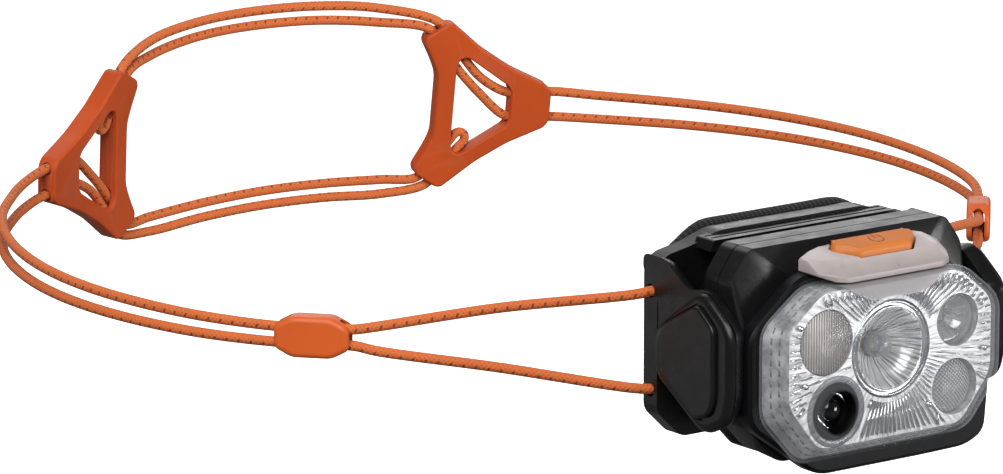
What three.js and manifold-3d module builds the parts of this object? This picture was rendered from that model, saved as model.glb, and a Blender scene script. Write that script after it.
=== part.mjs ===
// A compact rechargeable headlamp on a thin elastic cord headband, in millimetres, +Z up.
// The lamp faces -Y and the headband runs back to +Y. Everything is drawn with the window's front
// face at y = 0 and the spot lens on the y axis; the group then moves so that the origin is the
// middle of the head pad's rear face, where the lamp meets the forehead.
import * as THREE from "three";
import { mergeVertices } from "three/addons/utils/BufferGeometryUtils.js";
import Module from "manifold-3d";

const wasm = await Module();
wasm.setup();

// ---------------------------------------------------------------- sizes (mm)
const GAP = 0.3; // between pieces that touch in the real lamp
const PAD_REAR = 42.5;
const PAD_MIDDLE_Z = 1.4;
const CORD_RADIUS = 1.05;
const CORD_HOLE = 1.45;
const CORD_SIDES = 8;

const PIVOT = { y: 20.4, z: -0.7, pin: 2.0, hole: 2.35 };
const SPOT = { x: 0, z: 0, radius: 9.6, lens: 8.2 };
const FLOOD = { x: -16.3, z: 3.5, radius: 6.3 };
const UPPER = { x: 17.0, z: 3.3, radius: 5.0 };
const LOWER = { x: 16.4, z: -10.1, radius: 5.4 };
const SENSOR = { x: -13.8, z: -10.6, radius: 5.5, bore: 4.3 };

const material = {
  blackPlastic: ["#2a2a2c", 0.45, 0],
  satinBlack: ["#343437", 0.38, 0],
  clearWindow: ["#c9ccd2", 0.08, 0],
  frosted: ["#cfc6bf", 0.5, 0],
  orangePlastic: ["#c2602c", 0.45, 0],
  orangeCord: ["#d66228", 0.8, 0],
  mirrorTray: ["#b9bbc0", 0.15, 1],
  lens: ["#d4d8de", 0.05, 0],
  rubber: ["#1c1c1d", 0.7, 0],
  knit: ["#111113", 0.95, 0],
  foam: ["#29292b", 0.95, 0],
  steel: ["#8f9296", 0.3, 1],
  board: ["#1d4b35", 0.5, 0],
  phosphor: ["#e6c84a", 0.5, 0],
  cell: ["#7f8893", 0.4, 0.4],
};

// ---------------------------------------------------------------- solids
function toManifold(geometry) {
  const bare = geometry.index ? geometry.toNonIndexed() : geometry.clone();
  bare.deleteAttribute("normal");
  bare.deleteAttribute("uv");
  const merged = mergeVertices(bare, 1e-4);
  return new wasm.Manifold(
    new wasm.Mesh({
      numProp: 3,
      vertProperties: merged.attributes.position.array,
      triVerts: new Uint32Array(merged.index.array),
    }),
  );
}

function toGeometry(manifold) {
  const mesh = manifold.getMesh();
  const geometry = new THREE.BufferGeometry();
  geometry.setAttribute("position", new THREE.BufferAttribute(mesh.vertProperties, 3));
  geometry.setIndex(new THREE.BufferAttribute(mesh.triVerts, 1));
  geometry.computeVertexNormals();
  return geometry;
}

function join(...geometries) {
  return toGeometry(geometries.map(toManifold).reduce((a, b) => a.add(b)));
}

function cut(body, ...tools) {
  return toGeometry(tools.map(toManifold).reduce((a, b) => a.subtract(b), toManifold(body)));
}

// A box between two corners.
function block(x0, x1, y0, y1, z0, z1) {
  const geometry = new THREE.BoxGeometry(x1 - x0, y1 - y0, z1 - z0);
  return geometry.translate((x0 + x1) / 2, (y0 + y1) / 2, (z0 + z1) / 2);
}

// A round bar along y, its front and rear radii given apart.
function barY(x, z, y0, y1, front, rear = front, sides = 32) {
  const geometry = new THREE.CylinderGeometry(rear, front, y1 - y0, sides);
  return geometry.translate(0, (y0 + y1) / 2, 0).translate(x, 0, z);
}

// A round bar along x.
function barX(y, z, x0, x1, radius, sides = 24) {
  const geometry = new THREE.CylinderGeometry(radius, radius, x1 - x0, sides);
  return geometry.rotateZ(-Math.PI / 2).translate((x0 + x1) / 2, y, z);
}

// A turned solid about a line along y, its (radius, y) profile running from front to rear.
function turned(profile, x, z, sides) {
  const points = profile.map(([radius, y]) => new THREE.Vector2(radius, y));
  return new THREE.LatheGeometry(points, sides).translate(x, 0, z);
}

// Corners of a closed outline rounded off with a few short edges each.
function rounded(corners, radius, edges = 3) {
  const count = corners.length;
  return corners.flatMap(([x, y], i) => {
    const [px, py] = corners[(i + count - 1) % count];
    const [nx, ny] = corners[(i + 1) % count];
    const before = Math.hypot(px - x, py - y);
    const after = Math.hypot(nx - x, ny - y);
    const reach = Math.min(radius, before * 0.45, after * 0.45);
    const a = [x + ((px - x) * reach) / before, y + ((py - y) * reach) / before];
    const b = [x + ((nx - x) * reach) / after, y + ((ny - y) * reach) / after];
    return Array.from({ length: edges + 1 }, (_, k) => {
      const t = k / edges;
      const u = 1 - t;
      return [0, 1].map((j) => u * u * a[j] + 2 * u * t * [x, y][j] + t * t * b[j]);
    });
  });
}

// An outline moved inwards by a distance, corner by corner.
function inset(outline, distance) {
  const count = outline.length;
  const turn = THREE.ShapeUtils.area(outline.map(([x, y]) => new THREE.Vector2(x, y))) > 0 ? 1 : -1;
  return outline.map(([x, y], i) => {
    const [px, py] = outline[(i + count - 1) % count];
    const [nx, ny] = outline[(i + 1) % count];
    const into = (ax, ay, bx, by) => {
      const length = Math.hypot(bx - ax, by - ay) || 1;
      return [(-turn * (by - ay)) / length, (turn * (bx - ax)) / length];
    };
    const [ux, uy] = into(px, py, x, y);
    const [vx, vy] = into(x, y, nx, ny);
    const scale = distance / Math.max(1 + ux * vx + uy * vy, 0.4);
    return [x + (ux + vx) * scale, y + (uy + vy) * scale];
  });
}

// The same outline at successive stations, skinned and capped. place turns (across, up, station)
// into a point in space.
function loft(stations, place) {
  const outlines = stations.map(([, outline]) => outline.map(([a, b]) => new THREE.Vector2(a, b)));
  if (THREE.ShapeUtils.area(outlines[0]) < 0) outlines.forEach((outline) => outline.reverse());
  const count = outlines[0].length;
  const points = outlines.flatMap((outline, s) =>
    outline.map((p) => place(p.x, p.y, stations[s][0])),
  );
  const faces = [];
  THREE.ShapeUtils.triangulateShape(outlines[0], []).forEach(([a, b, c]) => faces.push(a, b, c));
  const last = (stations.length - 1) * count;
  THREE.ShapeUtils.triangulateShape(outlines.at(-1), []).forEach(([a, b, c]) =>
    faces.push(last + a, last + c, last + b),
  );
  for (let s = 0; s + 1 < stations.length; s += 1) {
    for (let i = 0; i < count; i += 1) {
      const a = s * count + i;
      const b = s * count + ((i + 1) % count);
      faces.push(a, a + count, b, b, a + count, b + count);
    }
  }
  const geometry = new THREE.BufferGeometry();
  geometry.setAttribute("position", new THREE.Float32BufferAttribute(points.flat(), 3));
  geometry.setIndex(faces);
  return geometry;
}

// (x, z) outlines at depths y.
const loftY = (...stations) => loft(stations, (x, z, y) => [x, y, z]);
// (y, z) outlines at widths x, listed from +x to -x.
const loftX = (...stations) => loft(stations, (y, z, x) => [x, y, z]);

function mirrored(geometry) {
  const flipped = geometry.index ? geometry.toNonIndexed() : geometry.clone();
  flipped.scale(-1, 1, 1);
  const p = flipped.attributes.position;
  for (let i = 0; i < p.count; i += 3) {
    const held = new THREE.Vector3().fromBufferAttribute(p, i + 1);
    p.setXYZ(i + 1, p.getX(i + 2), p.getY(i + 2), p.getZ(i + 2));
    p.setXYZ(i + 2, held.x, held.y, held.z);
  }
  flipped.deleteAttribute("normal");
  flipped.computeVertexNormals();
  return flipped;
}

const group = new THREE.Group();
group.name = "headlamp";

function add(name, geometry, look) {
  const [color, roughness, metalness] = material[look];
  const skin = new THREE.MeshStandardMaterial({ color, roughness, metalness, flatShading: true });
  const mesh = new THREE.Mesh(geometry, skin);
  mesh.name = name;
  group.add(mesh);
}

// Both sides of something drawn on the +x side.
function addPair(name, geometry, look) {
  add(name + "_right", geometry, look);
  add(name + "_left", mirrored(geometry), look);
}

const bothSides = (half) => [...half, ...half.map(([x, z]) => [-x, z]).reverse()];

// ---------------------------------------------------------------- lamp front
const windowFront = rounded(
  bothSides([[18.5, -18.8], [26.7, -8.6], [26.7, 7.2], [17.6, 14.7]]), 2.5);
const windowRear = rounded(
  bothSides([[19.5, -21.6], [29.0, -11.2], [29.0, 7.0], [18.6, 14.7]]), 2.5);
const WINDOW_DEPTH = 7;
const WALL = 1.3;

const windowBody = loftY([0, inset(windowFront, 0.5)], [0.5, windowFront], [WINDOW_DEPTH, windowRear]);
const windowHollow = loftY([WALL, inset(windowFront, WALL)], [WINDOW_DEPTH + 1, inset(windowRear, WALL)]);
add("front_window", cut(windowBody, windowHollow), "clearWindow");

// The rim's lower right corner is square and rounded, the other three are chamfered.
const rimOutline = rounded([
  [13.8, -24.8], [24.5, -24.6], [29.3, -22.4], [30.2, -12.0], [30.2, 3.0], [18.0, 15.2],
  [-18.0, 15.2], [-30.2, 4.4], [-30.2, -12.4], [-13.8, -24.8]], 3, 3);
const rimOpening = inset(windowRear, 2.0);
add("front_rim", cut(
  loftY([7.3, inset(rimOutline, 0.6)], [7.9, rimOutline], [10.6, rimOutline], [11.2, inset(rimOutline, 0.5)]),
  loftY([7, rimOpening], [12, rimOpening])), "blackPlastic");

const gasketOutline = inset(rimOutline, 1.6);
add("rim_gasket", cut(
  loftY([11.5, gasketOutline], [12.3, gasketOutline]),
  loftY([11, inset(gasketOutline, 1.4)], [13, inset(gasketOutline, 1.4)])), "rubber");

// The tray that holds the four lenses and the sensor behind the window.
const trayOutline = inset(windowFront, WALL + 0.5);
const holder = (lens, radius, y0 = 1) => barY(lens.x, lens.z, y0, 9, radius);
add("lens_tray", cut(
  loftY([3.2, trayOutline], [6.8, trayOutline]),
  holder(SPOT, SPOT.radius + GAP),
  holder(FLOOD, FLOOD.radius + GAP),
  holder(UPPER, UPPER.radius + GAP),
  holder(LOWER, LOWER.radius + GAP),
  holder(SENSOR, SENSOR.radius + GAP)), "mirrorTray");

// A moulded lens: a domed or flat front over a cone that narrows to its light source.
function lensBody({ x, z }, radius, dome, throat) {
  const profile = [
    [0, 1.7], [radius * 0.45, 1.7 + dome * 0.2], [radius * 0.8, 1.7 + dome * 0.65],
    [radius, 1.7 + dome], [radius, 3.4 + dome], [throat, 7.9], [0, 7.9]];
  return turned(profile, x, z, 32);
}
add("spot_lens", lensBody(SPOT, SPOT.lens, 0.4, 3.0), "lens");
add("spot_ring", cut(barY(0, 0, 1.6, 6.6, SPOT.radius, SPOT.radius, 48),
  barY(0, 0, 1, 8, SPOT.lens + GAP, SPOT.lens + GAP, 48)), "mirrorTray");
add("flood_lens", lensBody(FLOOD, FLOOD.radius, 0.3, 3.0), "lens");
add("upper_lens", lensBody(UPPER, UPPER.radius, 0.9, 2.4), "lens");
add("lower_lens", lensBody(LOWER, LOWER.radius, 0.9, 2.4), "lens");

add("sensor_barrel", cut(
  barY(SENSOR.x, SENSOR.z, 1.6, 8.6, SENSOR.radius),
  barY(SENSOR.x, SENSOR.z, 1, 7.4, SENSOR.bore)), "blackPlastic");
add("sensor_dome", turned(
  [[0, 2.7], [1.8, 3.0], [3.2, 4.0], [3.9, 5.6], [3.9, 6.9], [0, 6.9]], SENSOR.x, SENSOR.z, 24), "lens");

// One board carries a light source behind each lens.
const boardOutline = inset(windowRear, 2.4);
add("light_board", loftY([9.5, boardOutline], [10.7, boardOutline]), "board");
function emitter(name, { x, z }, half) {
  add(name, block(x - half, x + half, 8.3, 9.2, z - half, z + half), "phosphor");
}
emitter("spot_emitter", SPOT, 1.9);
emitter("flood_emitter", FLOOD, 1.6);
emitter("upper_emitter", UPPER, 1.4);
emitter("lower_emitter", LOWER, 1.4);

// ---------------------------------------------------------------- power button
const hoodMiddle = [
  [0.5, 15.6], [10.9, 15.6], [10.9, 20.0], [10.3, 20.6], [3.6, 19.6], [2.6, 18.2], [0.5, 16.4]];
const hoodShoulder = [
  [1.4, 15.6], [10.9, 15.6], [10.9, 19.4], [10.3, 20.0], [6.0, 19.0], [4.2, 17.8], [1.4, 16.2]];
const hoodEnd = [
  [4.4, 15.6], [10.9, 15.6], [10.9, 17.8], [10.3, 18.3], [8.2, 18.1], [6.4, 17.2], [4.4, 16.0]];
add("button_hood", cut(
  loftX([16.4, hoodEnd], [14.2, hoodShoulder], [11.6, hoodMiddle], [-11.6, hoodMiddle],
    [-14.2, hoodShoulder], [-16.4, hoodEnd]),
  block(-10.7, 10.7, 3.3, 10.3, 17.4, 24),
  block(-3.3, 3.3, 5.2, 9.2, 16.0, 18)), "frosted");
add("button_switch", block(-3, 3, 5.5, 8.9, 16.3, 17.4), "blackPlastic");

const buttonPlan = (grow) => [
  [6.4 + grow, 3.8 - grow], [10.2 + grow, 7.4], [10.2 + grow, 8.8], [8.4 + grow, 9.9 + grow],
  [-8.4 - grow, 9.9 + grow], [-10.2 - grow, 8.8], [-10.2 - grow, 7.4], [-6.4 - grow, 3.8 - grow]];
const buttonBlank = loft(
  [[18.2, buttonPlan(0)], [21.0, buttonPlan(0)], [22.2, buttonPlan(-0.7)]].reverse(),
  (x, y, z) => [x, y, z]);
const buttonSlope = block(-12, 12, -6, 6, 0, 4).rotateX(0.2).translate(0, 6.9, 21.2);
add("power_button", cut(buttonBlank, buttonSlope), "orangePlastic");

// ---------------------------------------------------------------- lamp body
const bodyFront = rounded(bothSides([[20, -22.2], [28.4, -13.0], [28.6, 4.5], [18.5, 14.6]]), 2);
const bodyMiddle = rounded(bothSides([[22, -20.6], [29.2, -13.0], [29.2, 15.0], [25.0, 20.8]]), 1.6);
const bodyRear = rounded(bothSides([[20, -11.5], [26.8, -8.0], [26.8, 11.6], [22.4, 16.2]]), 1.6);
const bodyShell = loftY(
  [12.6, bodyFront], [15.6, bodyMiddle], [23.8, bodyMiddle], [28.2, bodyRear]);
const bodyHollow = loftY(
  [12.0, inset(bodyFront, 1.7)], [12.6, inset(bodyFront, 1.7)], [15.6, inset(bodyMiddle, 1.7)],
  [22.6, inset(bodyMiddle, 1.7)], [26.5, inset(bodyRear, 1.7)]);
const PORT = { x: 14.5, y: 18.8, wide: 9.4, deep: 3.4 };
add("body_shell", cut(
  bodyShell, bodyHollow,
  barX(PIVOT.y, PIVOT.z, 26, 31, PIVOT.hole),
  barX(PIVOT.y, PIVOT.z, -31, -26, PIVOT.hole),
  block(PORT.x - PORT.wide / 2 - 0.4, PORT.x + PORT.wide / 2 + 0.4,
    PORT.y - PORT.deep / 2 - 0.4, PORT.y + PORT.deep / 2 + 0.4, -22, -17)), "satinBlack");
add("driver_board", block(-21, 21, 13.4, 14.6, -14, 12.5), "board");
add("battery_cell", loftY(
  [15.2, rounded(bothSides([[19, -9.5], [19, 14.5]]), 2)],
  [23.0, rounded(bothSides([[19, -9.5], [19, 14.5]]), 2)]), "cell");
add("charge_port", block(PORT.x - PORT.wide / 2, PORT.x + PORT.wide / 2,
  PORT.y - PORT.deep / 2, PORT.y + PORT.deep / 2, -19.6, -12.4), "steel");
add("port_cap", join(
  loft([[-21.1, rounded([[7.4, 16.4], [21.6, 16.4], [21.6, 21.4], [7.4, 21.4]], 1.2)],
    [-22.6, rounded([[7.9, 16.9], [21.1, 16.9], [21.1, 20.9], [7.9, 20.9]], 1.2)]],
  (x, y, z) => [x, y, z]),
  block(PORT.x - 4, PORT.x + 4, PORT.y - 1.2, PORT.y + 1.2, -21.5, -20.0)), "rubber");

// ---------------------------------------------------------------- bracket and pad
const plateOutline = rounded(
  bothSides([[27.5, -20.0], [33.6, -14.2], [33.6, 14.8], [31.4, 17.2], [24.4, 18.5], [18.4, 20.5]]), 1.2);
const armOutline = rounded([
  [37.5, 17.4], [37.5, 13.6], [34.4, 12.4], [32.6, 8.0], [32.6, -5.6], [17.0, -15.2], [9.6, -11.8],
  [8.0, -6.4], [8.0, 7.0], [17.4, 13.8], [23.0, 12.4], [27.0, 14.8], [30.4, 17.4]], 1.5);
const arm = loftX([33.8, armOutline], [31.2, armOutline]);
const CORD_HEIGHT = 10;
const CORD_DEPTH = 35.4;
const cordHoles = [1, -1].flatMap((side) => [1, -1].map((up) =>
  barX(CORD_DEPTH, up * CORD_HEIGHT, side > 0 ? 24 : -36, side > 0 ? 36 : -24, CORD_HOLE, 16)));
add("bracket", cut(
  join(
    loftY([33.2, plateOutline], [37.5, plateOutline]),
    block(-24, 24, 28.6, 34, 17.8, 19.9),
    arm, mirrored(arm)),
  ...cordHoles,
  barX(PIVOT.y, PIVOT.z, -40, -30, PIVOT.hole),
  barX(PIVOT.y, PIVOT.z, 30, 40, PIVOT.hole)), "satinBlack");

const coverOutline = rounded([
  [32.2, 3.2], [32.2, -5.4], [17.0, -14.8], [10.0, -11.6], [8.4, -6.2], [8.4, 6.8], [17.4, 13.4]], 1.6);
const panelOutline = rounded([
  [29.1, 4.6], [29.1, -4.3], [17.9, -12.2], [13.4, -10.4], [12.2, -7.0], [12.2, 6.9], [17.6, 11.0]], 1.2);
const capRim = loftX([35.4, inset(coverOutline, 1.1)], [34.7, coverOutline], [34.1, coverOutline]);
const capPanel = loftX([36.4, inset(panelOutline, 0.5)], [35.9, panelOutline], [35.0, panelOutline]);
addPair("pivot_cover", join(capRim, capPanel), "satinBlack");
addPair("pivot_pin", barX(PIVOT.y, PIVOT.z, 26.6, 33.7, PIVOT.pin), "steel");

const padOutline = rounded(
  bothSides([[26.0, -18.6], [30.8, -13.6], [30.8, 14.2], [19.4, 22.0]]), 3);
add("pad_cover", cut(
  loftY([37.9, padOutline], [41.6, padOutline], [PAD_REAR, inset(padOutline, 1.0)]),
  loftY([37, inset(padOutline, 1.0)], [41.4, inset(padOutline, 1.0)])), "knit");
add("pad_foam", loftY([38.2, inset(padOutline, 1.4)], [41.1, inset(padOutline, 1.4)]), "foam");

// ---------------------------------------------------------------- headband
// The slider and the triangle are drawn flat on the +x side, then stood in their place.
const SLIDER = { at: [85.8, 76.1, 0.6], along: [0.66, 0.751], long: 15.2, high: 8.4, thick: 5.0 };
const SLOT_HALF = 1.6; // half the distance between the two cords in a slot

// A frame whose x, y, z axes are given and whose origin is at a point.
function frameAt(x, y, z, at) {
  const matrix = new THREE.Matrix4().makeBasis(x, y, z);
  return matrix.setPosition(...at);
}

const sliderAlong = new THREE.Vector3(...SLIDER.along, 0).normalize();
const sliderUp = new THREE.Vector3(0, 0, 1);
const sliderFrame = frameAt(
  sliderAlong, sliderUp, new THREE.Vector3().crossVectors(sliderAlong, sliderUp), SLIDER.at);

// An extruded outline with chamfered edges, centred on its own thickness.
function plateSolid(outline, thick, chamfer, holes = []) {
  const shape = new THREE.Shape(outline.map(([a, b]) => new THREE.Vector2(a, b)));
  shape.holes = holes.map((hole) => new THREE.Path(hole.map(([a, b]) => new THREE.Vector2(a, b))));
  const geometry = new THREE.ExtrudeGeometry(shape, {
    depth: thick - 2 * chamfer,
    bevelEnabled: true,
    bevelThickness: chamfer,
    bevelSize: chamfer,
    bevelOffset: -chamfer,
    bevelSegments: 1,
  });
  return geometry.translate(0, 0, -thick / 2 + chamfer);
}

// A straight slot for two cords side by side, along x, the pair lying in the x-y plane.
function cordSlot(x0, x1, half = SLOT_HALF, hole = CORD_HOLE) {
  return join(
    block(x0, x1, -half, half, -hole, hole),
    barX(half, 0, x0, x1, hole, 16),
    barX(-half, 0, x0, x1, hole, 16));
}

const halfLong = SLIDER.long / 2;
const halfHigh = SLIDER.high / 2;
const sliderOutline = rounded([
  [halfLong, -2.0], [halfLong, 2.0], [halfLong - 3.2, halfHigh], [3.2 - halfLong, halfHigh],
  [-halfLong, 2.0], [-halfLong, -2.0], [3.2 - halfLong, -halfHigh], [halfLong - 3.2, -halfHigh]], 1.6);
addPair("slider", cut(
  plateSolid(sliderOutline, SLIDER.thick, 0.9),
  cordSlot(-halfLong - 1, halfLong + 1)).applyMatrix4(sliderFrame), "orangePlastic");

// Triangle plane: u runs forwards from the back edge, v up, and the normal towards the head.
const TRIANGLE = { at: [40.2, 211.1, 8.3], thick: 4.6 };
const triangleU = new THREE.Vector3(0.937, -0.35, -0.065).normalize();
const triangleN = new THREE.Vector3(-0.345, -0.934, -0.087).normalize();
const triangleV = new THREE.Vector3().crossVectors(triangleN, triangleU).normalize();
const triangleFrame = frameAt(
  triangleU, triangleV, new THREE.Vector3().crossVectors(triangleU, triangleV), TRIANGLE.at);
const upperEdge = [
  [28.3, 3.4], [27.2, 4.9], [19.0, 8.5], [12.0, 12.8], [4.6, 18.8], [3.2, 18.8], [-1.6, 15.8],
  [-1.9, 14.2], [0.2, 10.4], [1.8, 6.8]];
const mirrorDown = (points) => points.map(([u, v]) => [u, -v]).reverse();
const triangleOutline = rounded([...upperEdge, ...mirrorDown(upperEdge)], 1.0, 2);
const windowEdge = [[19.1, 3.2], [18.3, 4.6], [8.6, 11.0], [6.8, 11.0], [5.9, 9.0]];
const triangleWindow = rounded([...windowEdge, ...mirrorDown(windowEdge)], 0.9, 2);
const FRONT_HOLE = 2.9;
const CORNER_FROM = [6.9, 9.7];
const CORNER_TO = [0.7, 17.5];
const CORNER_HALF = 1.3; // the two cords lie closer together in a corner
const CORNER_HOLE = 1.35;
const cornerAngle = Math.atan2(CORNER_TO[1] - CORNER_FROM[1], CORNER_TO[0] - CORNER_FROM[0]);
const cornerSlot = (side) => cordSlot(-2, 14, CORNER_HALF, CORNER_HOLE).rotateZ(side * cornerAngle)
  .translate(CORNER_FROM[0], side * CORNER_FROM[1], 0);
const frontHole = (side) => barX(side * FRONT_HOLE, 0, 15, 32, CORD_HOLE, 16);
addPair("triangle", cut(
  plateSolid(triangleOutline, TRIANGLE.thick, 0.6, [triangleWindow]),
  frontHole(1), frontHole(-1), cornerSlot(1), cornerSlot(-1)).applyMatrix4(triangleFrame), "orangePlastic");

// ---------------------------------------------------------------- cords
// A route sampled by its own stations, so that short bends keep their points.
class Route extends THREE.CatmullRomCurve3 {
  getPointAt(t, target) {
    return this.getPoint(t, target);
  }
  getTangentAt(t, target) {
    return this.getTangent(t, target);
  }
}

const inTriangle = (u, v) => new THREE.Vector3(u, v, 0).applyMatrix4(triangleFrame);
const inSlider = (x, y) => new THREE.Vector3(x, y, 0).applyMatrix4(sliderFrame);
const flip = (p) => new THREE.Vector3(-p.x, p.y, p.z);
const cornerDirection = new THREE.Vector2(Math.cos(cornerAngle), Math.sin(cornerAngle));

// A point measured from the window's upper (side 1) or lower (side -1) corner: along the slot towards
// the triangle's back tip, and across it towards the sloping edge.
function inCorner(side, along, across) {
  const u = CORNER_FROM[0] + cornerDirection.x * along + cornerDirection.y * across;
  const v = CORNER_FROM[1] + cornerDirection.y * along - cornerDirection.x * across;
  return inTriangle(u, side * v);
}

// One lane from the bracket to the slot at the back of the near triangle, on the +x side. The cord
// that leaves the triangle at its top is the mirror image of the one that leaves at the bottom.
const SIDE_BOW = [[99.4, 93.5], [104.3, 106], [107.2, 121], [107.4, 136], [104.8, 151],
  [99.4, 166], [91.6, 179.4], [83.6, 188.6], [76.2, 195.6]];
function lane(up, side) {
  const bow = SIDE_BOW.map(([x, y], i) => {
    const t = (i + 1) / (SIDE_BOW.length + 1);
    return new THREE.Vector3(x, y, 0.8 + t * 5.2 + up * (1.6 + t * 1.2));
  });
  const across = side * up * CORNER_HALF;
  return [
    new THREE.Vector3(26, CORD_DEPTH, up * CORD_HEIGHT),
    new THREE.Vector3(32, CORD_DEPTH, up * CORD_HEIGHT),
    new THREE.Vector3(36.4, CORD_DEPTH + 1.0, up * (CORD_HEIGHT - 0.5)),
    new THREE.Vector3(57.8, 53.0, 0.6 + up * 6.0),
    inSlider(-13, up * 2.5),
    inSlider(-8.6, up * 1.7),
    inSlider(-6, up * SLOT_HALF),
    inSlider(0, up * SLOT_HALF),
    inSlider(7.8, up * SLOT_HALF),
    ...bow,
    inTriangle(30, up * FRONT_HOLE),
    inTriangle(24, up * FRONT_HOLE),
    inTriangle(18.6, up * (FRONT_HOLE - 0.2)),
    inTriangle(12.2, up * 1.8 + side * 4.2),
    inCorner(side, 0, across),
    inCorner(side, 5, across),
    inCorner(side, 10.5, across),
  ];
}

// The span between the two triangles, from +x to -x, for the middle of a pair of cords.
const UPPER_SPAN = [[30, 215.2, 28.8], [16, 219.4, 30.2], [0, 221.8, 30.4], [-16, 219.4, 30.2],
  [-30, 215.2, 28.8]];
const LOWER_SPAN = [[31, 215.2, -10.1], [16, 216.4, -9.2], [0, 216.8, -8.8], [-16, 216.4, -9.2],
  [-31, 215.2, -10.1]];
// The bight in the far triangle's window, as (along, across) from that window's corner.
const BIGHT = [[-1.2, 1.35], [-2.2, 1.4], [-3.2, 1.0], [-3.7, 0], [-3.2, -1.0], [-2.2, -1.4], [-1.2, -1.35]];

// A doubled cord: out along one lane, round the bight in the far triangle, and back along the other.
function cordRoute(side) {
  const span = side > 0 ? UPPER_SPAN : LOWER_SPAN;
  const outward = (up) => [
    ...lane(up, side),
    ...span.map(([x, y, z]) => new THREE.Vector3(x, y, z + up * SLOT_HALF)),
    ...[10.5, 5, 0].map((along) => flip(inCorner(side, along, side * up * CORNER_HALF))),
  ];
  const bight = BIGHT.map(([along, across]) => flip(inCorner(side, along, across)));
  if (side < 0) bight.reverse();
  return [...outward(1), ...bight, ...outward(-1).reverse()];
}

function cordSolid(points) {
  const route = new Route(points, false, "centripetal");
  const section = new THREE.Shape();
  section.absarc(0, 0, CORD_RADIUS, 0, 2 * Math.PI);
  return new THREE.ExtrudeGeometry(section, {
    steps: (points.length - 1) * 2,
    curveSegments: CORD_SIDES / 2,
    extrudePath: route,
  });
}
add("cord_right", cordSolid(cordRoute(1)), "orangeCord");
add("cord_left", cordSolid(cordRoute(-1).map(flip)), "orangeCord");

group.position.set(0, -PAD_REAR, -PAD_MIDDLE_Z);
export default group;
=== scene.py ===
"""Looks of a compact headlamp with an elastic cord headband.

Shapes are drawn in millimetres in the drawing's frame, where the window's front face is at y = 0, the
spot lens lies on the y axis and +Z is up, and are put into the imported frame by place().
"""

import math

import bmesh
import bpy
from mathutils import Matrix, Vector


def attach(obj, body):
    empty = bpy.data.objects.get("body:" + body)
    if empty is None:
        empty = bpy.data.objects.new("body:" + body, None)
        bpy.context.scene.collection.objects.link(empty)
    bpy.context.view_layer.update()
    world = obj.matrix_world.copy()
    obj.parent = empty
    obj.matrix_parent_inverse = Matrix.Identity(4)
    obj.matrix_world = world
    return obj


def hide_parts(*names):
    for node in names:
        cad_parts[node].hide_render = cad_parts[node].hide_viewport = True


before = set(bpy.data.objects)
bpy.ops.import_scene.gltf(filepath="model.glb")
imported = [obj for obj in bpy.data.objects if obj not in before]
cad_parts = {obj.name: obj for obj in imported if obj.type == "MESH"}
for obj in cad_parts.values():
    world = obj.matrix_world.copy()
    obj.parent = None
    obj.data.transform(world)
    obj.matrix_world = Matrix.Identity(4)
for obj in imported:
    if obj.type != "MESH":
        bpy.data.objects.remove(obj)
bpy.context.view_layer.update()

MM = 0.001
PAD_REAR = 42.5
PAD_MIDDLE_Z = 1.4


def place(x, y, z):
    """A point of the drawing, in millimetres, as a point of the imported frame, in metres."""
    return Vector((x * MM, (y - PAD_REAR) * MM, (z - PAD_MIDDLE_Z) * MM))


# ---- node formulas
class Field:
    """A node's output that takes part in sums, so that a pattern reads as a formula."""

    def __init__(self, nodes, socket):
        self.nodes = nodes
        self.socket = socket

    def math(self, operation, *others):
        return self.nodes.node("Math", dict(enumerate((self, *others))), operation=operation)

    def __add__(self, other):
        return self.math("ADD", other)

    def __sub__(self, other):
        return self.math("SUBTRACT", other)

    def __mul__(self, other):
        return self.math("MULTIPLY", other)

    def __truediv__(self, other):
        return self.math("DIVIDE", other)

    def sine(self):
        return self.math("SINE")

    def near(self, middle, reach):
        """1 within reach of a middle value, and 0 beyond."""
        return (self - middle).math("ABSOLUTE").math("LESS_THAN", reach)

    def span(self, low, high, to_low=0, to_high=1):
        """Maps low..high to to_low..to_high, clamped."""
        return self.nodes.node("MapRange", {
            "Value": self, "From Min": low, "From Max": high, "To Min": to_low, "To Max": to_high})


class Nodes:
    """A node tree that is filled by calls."""

    def __init__(self, tree):
        self.tree = tree

    def feed(self, socket, value):
        if isinstance(value, Field):
            self.tree.links.new(value.socket, socket)
        else:
            socket.default_value = value

    def node(self, kind, inputs=(), output=0, **settings):
        """Adds a node, and gives one of its outputs."""
        made = self.tree.nodes.new("ShaderNode" + kind)
        for key, value in settings.items():
            setattr(made, key, value)
        for key, value in dict(inputs).items():
            self.feed(made.inputs[key], value)
        return Field(self, made.outputs[output])

    def parts(self, vector):
        """The x, y and z of a vector."""
        first = self.node("SeparateXYZ", {0: vector})
        return [Field(self, socket) for socket in first.socket.node.outputs]


# ---- camera, lights, floor
CAMERA_AT = (-858.5, -1020.5, 331.8)
CAMERA_HEADING = math.radians(36.75)
CAMERA_DIP = math.radians(13.07)
CAMERA_LENS = 252.3
# Each light: its place and its width and height, in metres, and its power in watts.
LIGHTS = {
    "key": ((-0.7, -0.5, 0.75), (0.85, 0.85), 15),
    "fill": ((0.65, -0.85, 0.02), (0.5, 0.35), 7.2),
    "rear": ((0.2, 0.75, 0.9), (0.8, 0.6), 3),
    "side": ((-0.55, 0.75, -0.08), (0.6, 0.3), 0.45),
    "back": ((0.5, 0.55, 0.22), (0.7, 0.12), 0.8),
}
# Brightness of the room against the height of the direction looked in, from straight down to up.
SKY = ((-1.0, 0.06), (-0.7, 0.18), (-0.3, 0.24), (0.0, 0.1), (0.25, 0.1), (0.5, 0.11), (1.0, 0.08))
FRONT_RIGHT = (0.6, -0.8, 0)
ROOM_DARK_SIDE, ROOM_BRIGHT_SIDE = 0.75, 1.25
FLOOR_REACH, FLOOR_LEVEL = 8, -0.16


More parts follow.
